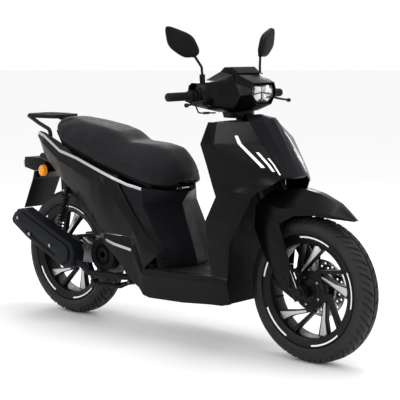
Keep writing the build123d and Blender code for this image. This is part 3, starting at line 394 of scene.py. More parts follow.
def swept(name, points, radius, key, body, steps):
    """Round tube through points in metres."""
    verts = []
    normal = None
    last = len(points) - 1
    for i, p in enumerate(points):
        along = (points[min(i + 1, last)] - points[max(i - 1, 0)]).normalized()
        if normal is None:
            normal = along.orthogonal().normalized()
        normal = (normal - along * normal.dot(along)).normalized()
        up = along.cross(normal)
        for j in range(steps):
            t = 2 * math.pi * j / steps
            verts.append(p + (normal * math.cos(t) + up * math.sin(t)) * radius)
    faces = grid_faces(len(points), steps)
    faces.append(tuple(range(steps)))
    faces.append(tuple(reversed(range(last * steps, len(points) * steps))))
    return build(name, verts, faces, key, body)


def shell(name, loops, key, body, width=0.0):
    """Closed form through outlines with the same number of points."""
    n = len(loops[0])
    verts = [Vector(p) for loop in loops for p in loop]
    faces = grid_faces(len(loops), n)
    faces.append(tuple(range(n)))
    faces.append(tuple(reversed(range(len(verts) - n, len(verts)))))
    return build(name, verts, faces, key, body, width)


def bolt(verts, faces, place, direction, radius, height):
    """Adds a hexagon head with a washer; radius and height in mm."""
    along, side, up = axes_of(direction)
    place = Vector(place)
    washer = [(radius * 1.25, 0), (radius * 1.25, 1.0), (radius * 0.6, 1.0)]
    crown = [(radius * 0.72, 0), (radius * 0.60, 0.7), (radius * 0.3, 0.7)]
    outline = [place + (side * math.cos(math.pi * k / 3) + up * math.sin(math.pi * k / 3)) * radius * MM
               for k in range(6)]
    turn_form(verts, faces, place, along, washer, 24)
    prism(verts, faces, outline, along * height * MM, along * 0.8 * MM)
    turn_form(verts, faces, place + along * (height + 0.6) * MM, along, crown, 18)


# ---------------------------------------------------------------- CAD nodes that keep their shape
# Material, edge width in metres, nodes.
DRESS = [
    ("paint", 0.0022, "apron_right apron_left"),
    ("paint", 0.0020, "floor_skirts front_fender"),
    ("paint", 0.0018, "side_panel_right side_panel_left"),
    ("paint", 0.0025, "bar_cover_front"),
    ("plastic", 0.0015, "inner_leg_shield"),
    ("plastic", 0.0020, "nose_panel tunnel_cover bar_cover_rear"),
    ("black_and_groove_shade", 0.0010, "wheel_well floorboard battery storage_bucket saddle_base"),
    ("black_and_groove_shade", 0.0012, "rear_mudguard"),
    ("black_and_groove_shade", 0.0020, "tail_lamp"),
    ("black_and_groove_shade", 0.0030, "instrument_cluster engine_shrouds"),
    ("black_and_groove_shade", 0.0015, "switch_housings"),
    ("black_and_groove_shade", 0.0006, "turn_switch horn_button starter_button"),
    ("rubber", 0.0, "throttle_cable"),
    ("strip", 0.0006, "trim_strips"),
    ("white", 0.0006, "light_bars"),
    ("steel", 0.0005, "pivot_pins head_bearings shock_rods"),
    ("steel", 0.0006, "ignition_key"),
    ("steel", 0.0010, "kick_lever"),
    ("disc", 0.0004, "brake_disc"),
    ("cast", 0.0020, "brake_caliper"),
    ("cast", 0.0030, "engine_case"),
    ("cast", 0.0040, "cvt_cover"),
    ("rim", 0.0012, "front_rim rear_rim"),
    ("rim", 0.0006, "brake_lever_right brake_lever_left"),
    ("frame", 0.0010, "fork_legs main_frame shock_bodies centre_stand side_stand"),
    ("frame", 0.0006, "front_axle"),
    ("frame", 0.0040, "fuel_tank"),
    ("frame", 0.0025, "luggage_rack"),
    ("frame", 0.0015, "steering_stem"),
    ("frame", 0.0008, "handlebar"),
    ("muffler", 0.0030, "muffler"),
]
for key, width, names in DRESS:
    for node in names.split():
        dress(node, key, width)


# ---------------------------------------------------------------- tyres with a block tread
# Half section of the front tyre in mm, (y, radius), from the crown to the bead.
TYRE_RADIUS = 281.0
TYRE_HALF_WIDTH = 55.0
TYRE_BORE = 207
TYRE_PROFILE = [(0, 281.0), (20, 281.0), (27, 279.2), (34, 275.8), (41, 270.5), (47, 264.0), (51.5, 256.0),
                (53.6, 247.0), (53.4, 240.0), (54.2, 238.5), (54.2, 236.5), (52.6, 235.0), (50.5, 228.0),
                (47.5, 222.0), (42, 219.6), (37, 218.2)]

# Rows of points by their distance from the crown, and columns as shares of one pitch of the tread.
TREAD_END = 62
TREAD_ROWS = [0, 2.6, 3.4, 7, 10, 10.8, 16, 22, 28, 34, 40, 45, 49, 52, 55, 57, 58.2]
TREAD_COLUMNS = [0, 0.025, 0.155, 0.18, 0.30, 0.42, 0.52, 0.54, 0.63, 0.65, 0.78, 0.90]
TREAD_PITCHES = 30
TREAD_LEAN = 0.85


def groove_depth(distance, column):
    """Depth in mm below the blocks at a distance from the crown; 0 on a block."""
    if distance <= 2.7:
        return 5.5
    if column in (1, 2) and 9 < distance < 56.5:
        return 6.0 if distance < 50 else 3.5
    if column in (7, 8) and 20 < distance < 50:
        return 4.6
    return 0.0


def tyre(name, node, axle, body, half_width):
    """Tyre with a middle groove and leaning side grooves, in place of the CAD's plain one."""
    k = half_width / TYRE_HALF_WIDTH
    half = [(y * k, r) for y, r in TYRE_PROFILE]
    lengths = [0.0]
    for (y0, r0), (y1, r1) in zip(half, half[1:]):
        lengths.append(lengths[-1] + math.hypot(y1 - y0, r1 - r0))
    across = [u * k for u in TREAD_ROWS] + [length for length in lengths if length > TREAD_END * k]
    rows = [(-u, -1) for u in reversed(across)] + [(u, 1) for u in across[1:]]
    pitch = 2 * math.pi / TREAD_PITCHES
    verts = []
    for u, side in rows:
        size = abs(u)
        y = np.interp(size, lengths, [p[0] for p in half])
        radius = np.interp(size, lengths, [p[1] for p in half])
        lean = TREAD_LEAN * min(size, 56 * k) / TYRE_RADIUS
        distance = min(size, 60 * k) / k
        for p in range(TREAD_PITCHES):
            for column, share in enumerate(TREAD_COLUMNS):
                turn = (p + share) * pitch + lean + (0.5 * pitch if side > 0 else 0)
                depth = groove_depth(distance, column)
                verts.append(wheel_point(axle, radius - depth, turn, y if side > 0 else -y))
    # the inside of the beads closes the form
    for y in (30 * k, -30 * k):
        for p in range(TREAD_PITCHES):
            for share in TREAD_COLUMNS:
                verts.append(wheel_point(axle, TYRE_BORE, (p + share) * pitch, y))
    faces = grid_faces(len(rows) + 2, TREAD_PITCHES * len(TREAD_COLUMNS), wrap_rows=True)
    obj = build(name, verts, faces, "tyre", body)
    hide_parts(node)


tyre("tyre_front_blocks", "front_tyre", FRONT_AXLE, "front_wheel", 55)
tyre("tyre_rear_blocks", "rear_tyre", REAR_AXLE, "rear_wheel", 60)

# ---------------------------------------------------------------- machined wheel faces
# Spoke face as mm along the spoke and square to it; the spokes are 72 degrees apart.
SPOKES = 5
SPOKE_STEP = 72
SPOKE_FACE = [(62, 49), (113, 18.5), (171, -19), (180.5, -2), (177.5, 13), (127, 27), (66, 55)]

# White arcs on the rim's edge, each 38 degrees long.
STRIPE_SPAN = 38
STRIPE_STEPS = 26


def wheel_trim(tag, axle, body, lip, face_y):
    """Bright spoke faces on the right and white stripes on both edges of a rim."""
    verts, faces = [], []
    for count in range(SPOKES):
        turn = math.radians(6 + SPOKE_STEP * count)
        outline = []
        for u, v in SPOKE_FACE:
            outline.append(Vector((axle[0] + (u * math.cos(turn) - v * math.sin(turn)) * MM, face_y * MM,
                                   axle[1] + (u * math.sin(turn) + v * math.cos(turn)) * MM)))
        prism(verts, faces, outline, Vector((0, -0.0007, 0)), Vector((0, 0.0001, 0)))
    build(f"spoke_faces_{tag}", verts, faces, "machined_and_highlight", body, 0.0003)
    section = [(206.5, lip - 0.6), (212.2, lip + 1.3), (212.4, lip + 1.9), (206.4, lip + 0.1)]
    for side in (-1, 1):
        verts, faces = [], []
        for count in range(SPOKES):
            start = math.radians(8 + SPOKE_STEP * count - STRIPE_SPAN / 2)
            first = len(verts)
            for i in range(STRIPE_STEPS):
                turn = start + math.radians(STRIPE_SPAN) * i / (STRIPE_STEPS - 1)
                for radius, y in section:
                    verts.append(wheel_point(axle, radius, turn, side * y))
            faces += grid_faces(STRIPE_STEPS, 4, start=first)
            faces.append((first, first + 1, first + 2, first + 3))
            faces.append(tuple(first + (STRIPE_STEPS - 1) * 4 + j for j in (3, 2, 1, 0)))
        build(f"rim_stripes_{tag}_{'left' if side > 0 else 'right'}", verts, faces, "white", body)


wheel_trim("front", FRONT_AXLE, "front_wheel", 46, -28)
wheel_trim("rear", REAR_AXLE, "rear_wheel", 48, -28)

# Hub rings, hub bolts and valve stems.
HUB_RINGS = [(43, 0), (72, 0), (73, 1.2), (72, 4.4), (66, 5.4), (64, 8.5), (58, 9.5), (56, 7.5), (52, 7.5),
             (50, 11), (46, 14), (43, 15.5)]
VALVE_STEM = [(1.5, 0), (3.4, 0.3), (3.6, 9), (3.0, 9.5), (3.0, 13), (4.4, 15), (4.6, 27), (1.5, 27.2)]
VALVE_TURN = math.radians(196)
for tag, axle, body in (("front", FRONT_AXLE, "front_wheel"), ("rear", REAR_AXLE, "rear_wheel")):
    lathe(f"hub_rings_{tag}", (axle[0], -0.0235, axle[1]), (0, -1, 0), HUB_RINGS, "rim", body, 72)
    verts, faces = [], []
    for count in range(SPOKES):
        turn = math.radians(42 + SPOKE_STEP * count)
        bolt(verts, faces, wheel_point(axle, 54, turn, -31.5), (0, -1, 0), 4.0, 3.0)
    build(f"hub_bolts_{tag}", verts, faces, "steel", body)
    stem = wheel_point(axle, 150, VALVE_TURN, -3)
    lathe(f"valve_stem_{tag}", stem, stem - wheel_point(axle, 100, VALVE_TURN, -3), VALVE_STEM, "rubber",
          body, 20)

verts, faces = [], []
for count in range(6):
    turn = math.radians(15 + 60 * count)
    bolt(verts, faces, wheel_point(FRONT_AXLE, 56, turn, 50.2), (0, 1, 0), 4.5, 2.2)
build("disc_bolts", verts, faces, "steel", "front_wheel")

# ---------------------------------------------------------------- shock springs
SHOCK_TOP = Vector((-0.586, 0, 0.575))
SHOCK_DOWN = Vector((-0.2681, 0, -0.9634))
SHOCK_SIDE = 0.112
COIL_START = 0.0345
COIL_LENGTH = 0.1770
COIL_RADIUS = 0.0165
COIL_WIRE = 0.0030
COIL_TURNS = 11
COIL_POINTS = COIL_TURNS * 24
for side, tag in ((-1, "right"), (1, "left")):
    along, across, up = axes_of(SHOCK_DOWN)
    points = []
    for i in range(COIL_POINTS + 1):
        share = i / COIL_POINTS
        t = 2 * math.pi * COIL_TURNS * share
        place = (SHOCK_TOP + Vector((0, side * SHOCK_SIDE, 0))
                 + SHOCK_DOWN * (COIL_START + COIL_LENGTH * share))
        points.append(place + (across * math.cos(t) + up * math.sin(t)) * COIL_RADIUS)
    spring = swept(f"shock_coil_{tag}", points, COIL_WIRE, "frame", "shock_upper", 10)
    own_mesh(spring)
    if side < 0:
        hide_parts("shock_springs")

# ---------------------------------------------------------------- grips
# Profiles in mm, (radius, distance from the inner end of the grip or from the bar end).
GRIP_FLANGE = [(11.2, 0.0), (21.5, 0.2), (22.0, 1.0), (22.0, 4.0), (20.5, 5.0), (17.0, 6.5)]
BAR_END = [(4, 0), (13.5, 0.2), (14.2, 1.2), (14.2, 3.6), (13.0, 4.6), (4.5, 4.8)]
RIB_PITCH = 3.2
for side, tag, body, node in ((-1, "right", "throttle", "throttle_grip"),
                              (1, "left", "steering", "left_grip")):
    start = Vector((0.26772, side * 0.234, 1.01696))
    end = Vector((0.25257, side * 0.341, 1.01507))
    length = (end - start).length / MM
    profile = list(GRIP_FLANGE)
    for i in range(int((length - 20) / RIB_PITCH)):
        at = 8.0 + i * RIB_PITCH
        profile += [(16.9, at), (16.9, at + 1.9), (15.9, at + 2.2), (15.9, at + 2.9)]
    profile += [(16.9, length - 8), (17.0, length - 2), (16.0, length - 0.4), (11.2, length)]
    grip = lathe(f"grip_{tag}", start, end - start, profile, "rubber", body, 40)
    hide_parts(node)
    lathe(f"bar_end_{tag}", start + (end - start).normalized() * (length - 1.0) * MM, end - start, BAR_END,
          "rim", "steering", 32)

# ---------------------------------------------------------------- saddle
VOXEL = 0.006
SOFTEN_ROUNDS = 60
CLOTH_PRESSURE = 4.0
CLOTH_FRAMES = 20
SWELL_CAP = 0.007

# Height of the seam line along the saddle, both in metres.
SEAM_X = [-0.64, -0.385, -0.24, -0.11, 0.0]
SEAM_Z = [0.835, 0.780, 0.725, 0.705, 0.685]
SEAM_POINTS = 64


def cushion():
    """Saddle pad: the CAD solid remeshed, softened and swollen by a cloth simulation."""
    source = NODES["saddle_cushion"].data
    work = bmesh.new()
    work.from_mesh(source)
    bmesh.ops.remove_doubles(work, verts=work.verts, dist=WELD_DISTANCE)
    mesh = bpy.data.meshes.new("saddle_pad")
    work.to_mesh(mesh)
    work.free()
    obj = bpy.data.objects.new("saddle_pad", mesh)
    bpy.context.scene.collection.objects.link(obj)
    bpy.context.view_layer.objects.active = obj
    remesh = obj.modifiers.new("remesh", "REMESH")
    remesh.mode = "VOXEL"
    remesh.voxel_size = VOXEL
    soften = obj.modifiers.new("soften", "SMOOTH")
    soften.factor = 0.5
    soften.iterations = SOFTEN_ROUNDS
    for modifier in ("remesh", "soften"):
        with bpy.context.temp_override(object=obj, active_object=obj, selected_objects=[obj]):
            bpy.ops.object.modifier_apply(modifier=modifier)
    rest = np.array([v.co for v in obj.data.vertices])
    cloth = obj.modifiers.new("cloth", "CLOTH")
    cloth.settings.use_pressure = True
    cloth.settings.uniform_pressure_force = CLOTH_PRESSURE
    cloth.settings.effector_weights.gravity = 0.0
    cloth.settings.quality = 4
    cloth.settings.tension_stiffness = 25
    cloth.settings.compression_stiffness = 25
    group = obj.vertex_groups.new(name="held")
    for v in obj.data.vertices:
        if v.normal.z < -0.55:
            group.add([v.index], 1.0, "REPLACE")
    cloth.settings.vertex_group_mass = "held"
    scene = bpy.context.scene
    for step in range(1, CLOTH_FRAMES + 1):
        scene.frame_set(step)
    evaluated = obj.evaluated_get(bpy.context.evaluated_depsgraph_get())
    moved = np.array([v.co for v in evaluated.data.vertices])
    obj.modifiers.remove(cloth)
    scene.frame_set(1)
    shift = moved - rest
    size = np.linalg.norm(shift, axis=1, keepdims=True)
    shift *= np.minimum(1.0, SWELL_CAP / np.maximum(size, 1e-9))
    rest = rest + shift
    # stays within a few millimetres of the CAD solid's box
    low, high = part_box("saddle_cushion")
    rest = np.clip(rest, np.array(low) - 0.004, np.array(high) + 0.003)
    obj.data.vertices.foreach_set("co", rest.astype(np.float32).ravel())
    obj.data.update()
    polish = obj.modifiers.new("polish", "SMOOTH")
    polish.factor = 0.5
    polish.iterations = 8
    finer = obj.modifiers.new("finer", "SUBSURF")
    finer.levels = 1
    finer.render_levels = 1
    for polygon in obj.data.polygons:
        polygon.use_smooth = True
    paint(obj, "vinyl")
    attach(obj, "saddle")
    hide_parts("saddle_cushion")
    return obj


pad = cushion()


def saddle_seams():
    """Welt and stitches down each side of the pad, laid on its finished surface."""
    depsgraph = bpy.context.evaluated_depsgraph_get()
    tree = BVHTree.FromObject(pad, depsgraph)
    for side, tag in ((-1, "right"), (1, "left")):
        line = []
        for i in range(SEAM_POINTS):
            x = -0.640 + 0.640 * i / (SEAM_POINTS - 1)
            z = float(np.interp(x, SEAM_X, SEAM_Z))
            hit = tree.ray_cast(Vector((x, side * 0.4, z)), Vector((0, -side, 0)))
            if hit[0] is not None:
                line.append((hit[0], hit[1]))
        welt = swept(f"saddle_welt_{tag}", [p + n * 0.0002 for p, n in line], 0.0013, "vinyl", "saddle",
                     8)
        verts, faces = [], []
        for (p, n), (q, _) in zip(line, line[1:]):
            for share in (0.1, 0.6):
                start = p.lerp(q, share) + n * 0.0005
                run = (q - p) * 0.34
                drop = n.cross(run).normalized() * 0.0042
                wide = n.cross(run).normalized() * 0.0006
                outline = [start + drop - wide, start + drop + run - wide, start + drop + run + wide,
                           start + drop + wide]
                prism(verts, faces, outline, n * 0.0009, n * -0.0004)
        build(f"saddle_stitches_{tag}", verts, faces, "thread", "saddle")


saddle_seams()


# ---------------------------------------------------------------- lamps
# Right half of the headlight's outline in mm, (y, z).
LAMP = [(-58, 1060), (-69, 1042), (-70, 1026), (-42, 988)]
LAMP_WAIST = 1014

# Four chrome cells behind the lens, between dark ribs: corners (y, z), and (x, share of the cell's size)
# down the bowl's front and back up its rear.
CELLS = [[(-60, 1024), (-60, 1040), (-51, 1052), (-4, 1049), (-4, 1032)],
         [(60, 1024), (60, 1040), (51, 1052), (4, 1049), (4, 1032)],
         [(-58, 1018), (-6, 1026), (-6, 1006), (-22, 1000), (-36, 997)],
         [(58, 1018), (6, 1026), (6, 1006), (22, 1000), (36, 997)]]
BOWL = [(431, 1.0), (426, 0.80), (418, 0.52), (414, 0.22), (413, 0.05),
        (411, 0.05), (412, 0.22), (416, 0.54), (424, 0.84), (430, 1.03)]
EMITTER = [(1, 0), (6.5, 0.4), (6.5, 5), (5.0, 8), (2.4, 9.6), (0.6, 10)]

# Sections of the tail lens: x, half width, lower and upper edge, all in mm.
TAIL_LENS = [(-924.6, 67, 652, 687.4), (-930, 66.5, 653, 686.5), (-950.6, 54.5, 657.4, 682.8),
             (-962.8, 40.5, 669.4, 679.6)]
INDICATOR = [(6, 1.04), (20, 1.04), (25, 0.98), (28.5, 0.82), (30.5, 0.55), (31.2, 0.2)]


def lamp_outline(x, shrink):
    """Headlight outline at x, drawn in by shrink, in mm."""
    half = [(y + shrink, z - shrink if z > LAMP_WAIST else z + shrink) for y, z in LAMP]
    return [Vector((x, y, z)) * MM for y, z in half + [(-y, z) for y, z in reversed(half)]]


def lamp_loops(sections):
    """Headlight outlines for (x, shrink) sections."""
    return [lamp_outline(x, shrink) for x, shrink in sections]


def cell_centre(cell):
    """Middle of a cell's corners."""
    return sum(p[0] for p in cell) / len(cell), sum(p[1] for p in cell) / len(cell)


bowl = shell("headlight_rim", lamp_loops([(400, 12), (434, 0.4), (439, 0.6), (439.4, 3), (430, 4),
                                          (404, 15)]), "black_and_groove_shade", "steering", 0.0005)
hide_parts("headlight")
shell("headlight_glass", lamp_loops([(433.5, 3.4), (439.2, 3.2), (441.4, 6), (441.9, 20)]), "glass",
      "steering", 0.0006)
verts, faces = [], []
for cell in CELLS:
    cy, cz = cell_centre(cell)
    first = len(verts)
    for x, share in BOWL:
        verts += [Vector((x, cy + (y - cy) * share, cz + (z - cz) * share)) * MM for y, z in cell]
    faces += grid_faces(len(BOWL), len(cell), wrap_rows=True, start=first)
build("headlight_reflectors", verts, faces, "chrome", "steering")
verts, faces = [], []
for cell in CELLS:
    cy, cz = cell_centre(cell)
    turn_form(verts, faces, Vector((412.5, cy, cz)) * MM, (1, 0, 0), EMITTER, 24)
build("headlight_emitters", verts, faces, "white", "steering")
verts, faces = [], []
prism(verts, faces, lamp_outline(0, 4), Vector((0.002, 0, 0)), Vector((0.409, 0, 0)))
build("headlight_back", verts, faces, "screen", "steering", 0.0004)

shell("tail_lens_red", [[Vector((x, y, z)) * MM for y, z in ((-h, a), (h, a), (h, b), (-h, b))]
                        for x, h, a, b in TAIL_LENS], "red", "frame", 0.0015)
for side, tag in ((-1, "right"), (1, "left")):
    direction = Vector((0.2, side * 0.98, 0)).normalized()
    across = Vector((0, 0, 1))
    wide = direction.cross(across).normalized()
    centre = Vector((-0.738, side * 0.108, 0.653))
    loops = []
    for depth, share in INDICATOR:
        loops.append([centre + direction * depth * MM
                      + (wide * math.cos(t) * 17 + across * math.sin(t) * 24) * share * MM
                      for t in [2 * math.pi * j / 40 for j in range(40)]])
    shell(f"indicator_lens_{tag}", loops, "amber", "frame")

# ---------------------------------------------------------------- instrument screen and mirror glass
verts, faces = [], []
SCREEN = [(277.5, -58, 1102.8), (298, -62, 1124.6), (298, 62, 1124.6), (277.5, 58, 1102.8)]
outline = [Vector(corner) * MM for corner in SCREEN]
normal = (outline[1] - outline[0]).cross(outline[2] - outline[1]).normalized()
if normal.x > 0:
    normal = -normal
prism(verts, faces, outline, normal * 0.0022, normal * 0.0012)
build("instrument_screen", verts, faces, "screen", "steering", 0.0008)

MIRROR_YAW = math.radians(17)
MIRROR_OUTLINE = [(-182, 1196), (-184, 1178), (-200, 1166), (-246, 1163), (-312, 1206), (-324, 1268),
                  (-320, 1283), (-304, 1284), (-212, 1252)]
MIRROR_CENTRE = (-255, 1225)

# Sections of the head and its glass, (share of the outline's size, mm in front of the plane), and the
# turned socket under the head.
MIRROR_SHELL = [(0.90, -3.5), (0.93, -3.5), (0.94, -5.6), (0.985, -6.0), (1.0, -4.0), (1.0, 2.0),
                (0.985, 6.5), (0.94, 11.0), (0.86, 14.5), (0.72, 16.8), (0.5, 17.8), (0.25, 18.0)]
MIRROR_GLASS = [(0.925, -3.2), (0.925, -4.6), (0.91, -5.0), (0.5, -5.1)]
MIRROR_SOCKET = [(7, 0), (9.4, 1), (9.4, 7), (8.4, 9), (8.4, 13), (9.0, 16), (5, 18)]


def rounded(outline):
    """Closed outline with its corners cut three times into curves."""
    for _ in range(3):
        cut = []
        for p, q in zip(outline, outline[1:] + outline[:1]):
            cut += [(0.8 * p[0] + 0.2 * q[0], 0.8 * p[1] + 0.2 * q[1]),
                    (0.2 * p[0] + 0.8 * q[0], 0.2 * p[1] + 0.8 * q[1])]
        outline = cut
    return outline


def mirror_loop(side, share, depth):
    """Outline of a mirror head at a depth in front of its plane, shrunk to a share of its size."""
    across = Vector((side * -math.sin(MIRROR_YAW), math.cos(MIRROR_YAW), 0))
    ahead = Vector((math.cos(MIRROR_YAW), side * math.sin(MIRROR_YAW), 0))
    loop = []
    for y, z in rounded(MIRROR_OUTLINE):
        y = MIRROR_CENTRE[0] + (y - MIRROR_CENTRE[0]) * share
        z = MIRROR_CENTRE[1] + (z - MIRROR_CENTRE[1]) * share
        along = (-side * y - side * 200) / math.cos(MIRROR_YAW)
        loop.append(Vector((0.264, side * 0.200, z * MM)) + across * along * MM + ahead * depth * MM)
    return loop


for side, tag, body in ((-1, "right", "mirror_head_right"), (1, "left", "mirror_head_left")):
    head = shell(f"mirror_shell_{tag}", [mirror_loop(side, share, depth) for share, depth in MIRROR_SHELL],
                 "black_and_groove_shade", body)
    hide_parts("mirror_right" if side < 0 else "mirror_left")
    shell(f"mirror_glass_{tag}", [mirror_loop(side, share, depth) for share, depth in MIRROR_GLASS],
          "mirror", body)
    lathe(f"mirror_socket_{tag}", Vector((0.2626, side * 0.199, 1.168)), (-0.38, side * 0.52, 1.0),
          MIRROR_SOCKET, "black_and_groove_shade", body, 28)

# ---------------------------------------------------------------- fixings and small parts
RIGHT = (0, -1, 0)
LEFT = (0, 1, 0)


def screws(name, places, key, body, radius, height):
    """Hexagon heads at (place in mm, direction), as one piece."""
    verts, faces = [], []
    for place, direction in places:
        bolt(verts, faces, Vector(place) * MM, direction, radius, height)
    build(name, verts, faces, key, body)


screws("muffler_bolts", [((-776, -238, 446), RIGHT), ((-560, -240, 344), RIGHT), ((-700, -238, 380), RIGHT)],
       "steel", "swing_unit", 6.5, 4)
screws("belt_case_bolts", [((-330 + 66 * math.cos(t), 157.6, 300 + 66 * math.sin(t)), LEFT)
                           for t in (1.2, 2.2, 4.1, 5.0, 6.0)]
       + [((-615 - 42 * math.cos(t), 157.6, 285 + 42 * math.sin(t)), LEFT) for t in (-1, 0, 1)],
       "steel", "swing_unit", 5.0, 3.5)
screws("crankcase_bolts", [((-408, -98, 300), RIGHT), ((-398, -98, 380), RIGHT), ((-640, -90, 300), RIGHT),
                           ((-480, -90, 330), RIGHT)], "steel", "swing_unit", 5.5, 4)
screws("caliper_bolts", [((640, 74.5, 330), LEFT), ((618, 74.5, 372), LEFT)], "steel", "fork_lower",
       5, 4)
screws("fender_screws", [((600, -99.5, 470), RIGHT), ((600, 99.5, 470), LEFT), ((630, -99.5, 330), RIGHT),
                         ((630, 99.5, 330), LEFT)], "frame", "fork_lower", 4, 2)

# Painted highlight: a thin bright line of machined metal down the front of each round fork slider, where a
# front light's reflection falls; the places are mm along and ahead of the steering axis, from the head at
# (324, 950).
SLIDER_RADIUS = 17.3
SLIDER_HIGHLIGHT_TURN = math.radians(28)
for side, tag in ((-1, "right"), (1, "left")):
    line = []
    for step in range(19):
        along, forward = -772 + step * 10, 12 + SLIDER_RADIUS * math.cos(SLIDER_HIGHLIGHT_TURN)
        line.append(Vector((324 + forward * math.cos(RAKE) - along * math.sin(RAKE),
                            side * (76 + SLIDER_RADIUS * math.sin(SLIDER_HIGHLIGHT_TURN)),
                            950 + forward * math.sin(RAKE) + along * math.cos(RAKE))) * MM)
    swept(f"fork_painted_highlight_{tag}", line, 0.0016, "machined_and_highlight", "fork_lower", 8)

# Ribs of the belt case on the left.
CASE_FACE = 157.5
verts, faces = [], []
for i in range(7):
    x = -400 - i * 28
    z_top, z_low = 352 - i * 3.6, 240 + i * 1.0
    outline = [Vector((x, CASE_FACE, z_low + 14)) * MM, Vector((x + 8, CASE_FACE, z_low + 14)) * MM,
               Vector((x + 8, CASE_FACE, z_top - 14)) * MM, Vector((x, CASE_FACE, z_top - 14)) * MM]
    prism(verts, faces, outline, Vector((0, 0.0035, 0)), Vector((0, 0, 0)))
build("belt_case_ribs", verts, faces, "cast", "swing_unit", 0.0012)

# Fan grille on the right: nine pairs of bars in metres and two rings in mm.
FAN_CENTRE = Vector((-0.331, -0.134, 0.316))
GRILLE_PAIRS = 9
GRILLE_INNER = 0.012
GRILLE_OUTER = 0.0455
GRILLE_HALF_WIDTH = 0.0022
verts, faces = [], []
for i in range(GRILLE_PAIRS):
    turn = math.pi * i / GRILLE_PAIRS
    d = Vector((math.cos(turn), 0, math.sin(turn)))
    n = Vector((-math.sin(turn), 0, math.cos(turn)))
    for sign in (1, -1):
        near = FAN_CENTRE + d * sign * GRILLE_INNER
        far = FAN_CENTRE + d * sign * GRILLE_OUTER
        outline = [near + n * GRILLE_HALF_WIDTH, far + n * GRILLE_HALF_WIDTH,
                   far - n * GRILLE_HALF_WIDTH, near - n * GRILLE_HALF_WIDTH]
        prism(verts, faces, outline, Vector((0, -0.005, 0)), Vector((0, 0, 0)))
for radius in (14, 30):
    turn_form(verts, faces, (-0.331, -0.1335, 0.316), RIGHT,
              [(radius - 3, 0), (radius, 0), (radius, 5.8), (radius - 3, 5.8)], 40)
build("fan_grille", verts, faces, "black_and_groove_shade", "swing_unit", 0.0006)

# Ribs of the floor mat, in mm: (x, z) of their ends on the sloping floor.
MAT_BACK = (112, 305.2)
MAT_FRONT = (330, 314.6)
verts, faces = [], []
for side in (-1, 1):
    for i in range(9):
        y = side * (70 + i * 12.5)
        outline = [Vector((x, at, z)) * MM for (x, z), at in ((MAT_BACK, y - 3), (MAT_FRONT, y - 3),
                                                              (MAT_FRONT, y + 3), (MAT_BACK, y + 3))]
        prism(verts, faces, outline, Vector((0, 0, 0.0035)), Vector((0, 0, -0.002)))
build("floor_mat_ribs", verts, faces, "rubber", "frame", 0.001)

# Raised strips low on the tunnel sides for its recessed grooves, in black plastic darker than the tunnel:
# painted shade of the grooves.
verts, faces = [], []
for side in (-1, 1):
    for level in range(3):
        z = 328 + 15 * level
        front, back = 58 - 0.10 * (z - 318), 47 - 0.16 * (z - 318)
        outline = [Vector((front, side * 151, z)) * MM, Vector((back, side * 180, z)) * MM,
                   Vector((back, side * 180, z + 6)) * MM, Vector((front, side * 151, z + 6)) * MM]
        prism(verts, faces, outline, Vector((0.0022, side * 0.0012, 0)), Vector((-0.001, 0, 0)))
build("tunnel_groove_shade_strips", verts, faces, "black_and_groove_shade", "frame", 0.0006)

# ---------------------------------------------------------------- floor, light, camera
FLOOR_HALF = 60
floor_mesh = bpy.data.meshes.new("studio_floor")
floor_mesh.from_pydata([(-FLOOR_HALF, -FLOOR_HALF, 0), (FLOOR_HALF, -FLOOR_HALF, 0),
                        (FLOOR_HALF, FLOOR_HALF, 0), (-FLOOR_HALF, FLOOR_HALF, 0)], [], [(0, 1, 2, 3)])
floor = bpy.data.objects.new("studio_floor", floor_mesh)
bpy.context.scene.collection.objects.link(floor)
floor_mat, floor_tree, floor_shader, floor_coords = new_material("studio_floor_paint")
floor_shade = ramp(floor_tree, noise(floor_tree, floor_coords, 2.0),
                   [(0.0, (0.93, 0.93, 0.93)), (1.0, (0.95, 0.95, 0.95))])
floor_tree.links.new(floor_shade, floor_shader.inputs["Base Color"])
floor_shader.inputs["Roughness"].default_value = 0.9
floor_shader.inputs["Specular IOR Level"].default_value = 0.1
floor.data.materials.append(floor_mat)

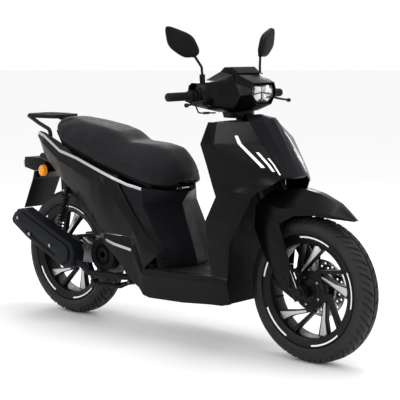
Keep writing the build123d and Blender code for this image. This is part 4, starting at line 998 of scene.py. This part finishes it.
world = bpy.data.worlds.new("studio")
bpy.context.scene.world = world
world.use_nodes = True
world.node_tree.nodes["Background"].inputs["Color"].default_value = (1.0, 1.0, 1.0, 1)
world.node_tree.nodes["Background"].inputs["Strength"].default_value = 1.0


def soft_light(name, place, target, size, power):
    """Area light at a place, turned to a target; size in metres, power in watts."""
    data = bpy.data.lights.new(name, "AREA")
    data.shape = "RECTANGLE"
    data.size, data.size_y = size
    data.energy = power
    obj = bpy.data.objects.new(name, data)
    bpy.context.scene.collection.objects.link(obj)
    obj.location = place
    obj.rotation_mode = "QUATERNION"
    obj.rotation_quaternion = (Vector(target) - Vector(place)).to_track_quat("-Z", "Y")


soft_light("key_top", (0.8, 0.6, 4.2), (0, 0, 0.6), (3.0, 1.6), 62)
soft_light("front_left", (4.6, -0.8, 2.2), (0.4, 0, 0.6), (0.7, 2.0), 26)
soft_light("side_right", (-1.2, -4.2, 1.9), (-0.2, 0, 0.55), (2.6, 0.6), 26)
soft_light("back_rim", (-2.6, 3.2, 2.4), (0, 0, 0.8), (2.2, 0.8), 40)

# Camera fitted to the photograph; yaw and pitch are the way it looks.
CAMERA_PLACE = (3.478, -3.710, 1.211)
CAMERA_YAW = math.radians(132.2)
CAMERA_PITCH = math.radians(-7.457)
camera_data = bpy.data.cameras.new("camera")
camera_data.sensor_width = 36.0
camera_data.lens = 110.1
camera_data.shift_x = -0.0020
camera_data.shift_y = 0.0139
camera_data.clip_start = 0.1
camera_data.clip_end = 60.0
camera = bpy.data.objects.new("camera", camera_data)
bpy.context.scene.collection.objects.link(camera)
camera.location = CAMERA_PLACE
look = Vector((math.cos(CAMERA_YAW) * math.cos(CAMERA_PITCH), math.sin(CAMERA_YAW) * math.cos(CAMERA_PITCH),
               math.sin(CAMERA_PITCH)))
camera.rotation_mode = "QUATERNION"
camera.rotation_quaternion = look.to_track_quat("-Z", "Y")
bpy.context.scene.camera = camera
bpy.context.scene.view_settings.view_transform = "Standard"
bpy.context.scene.view_settings.look = "None"
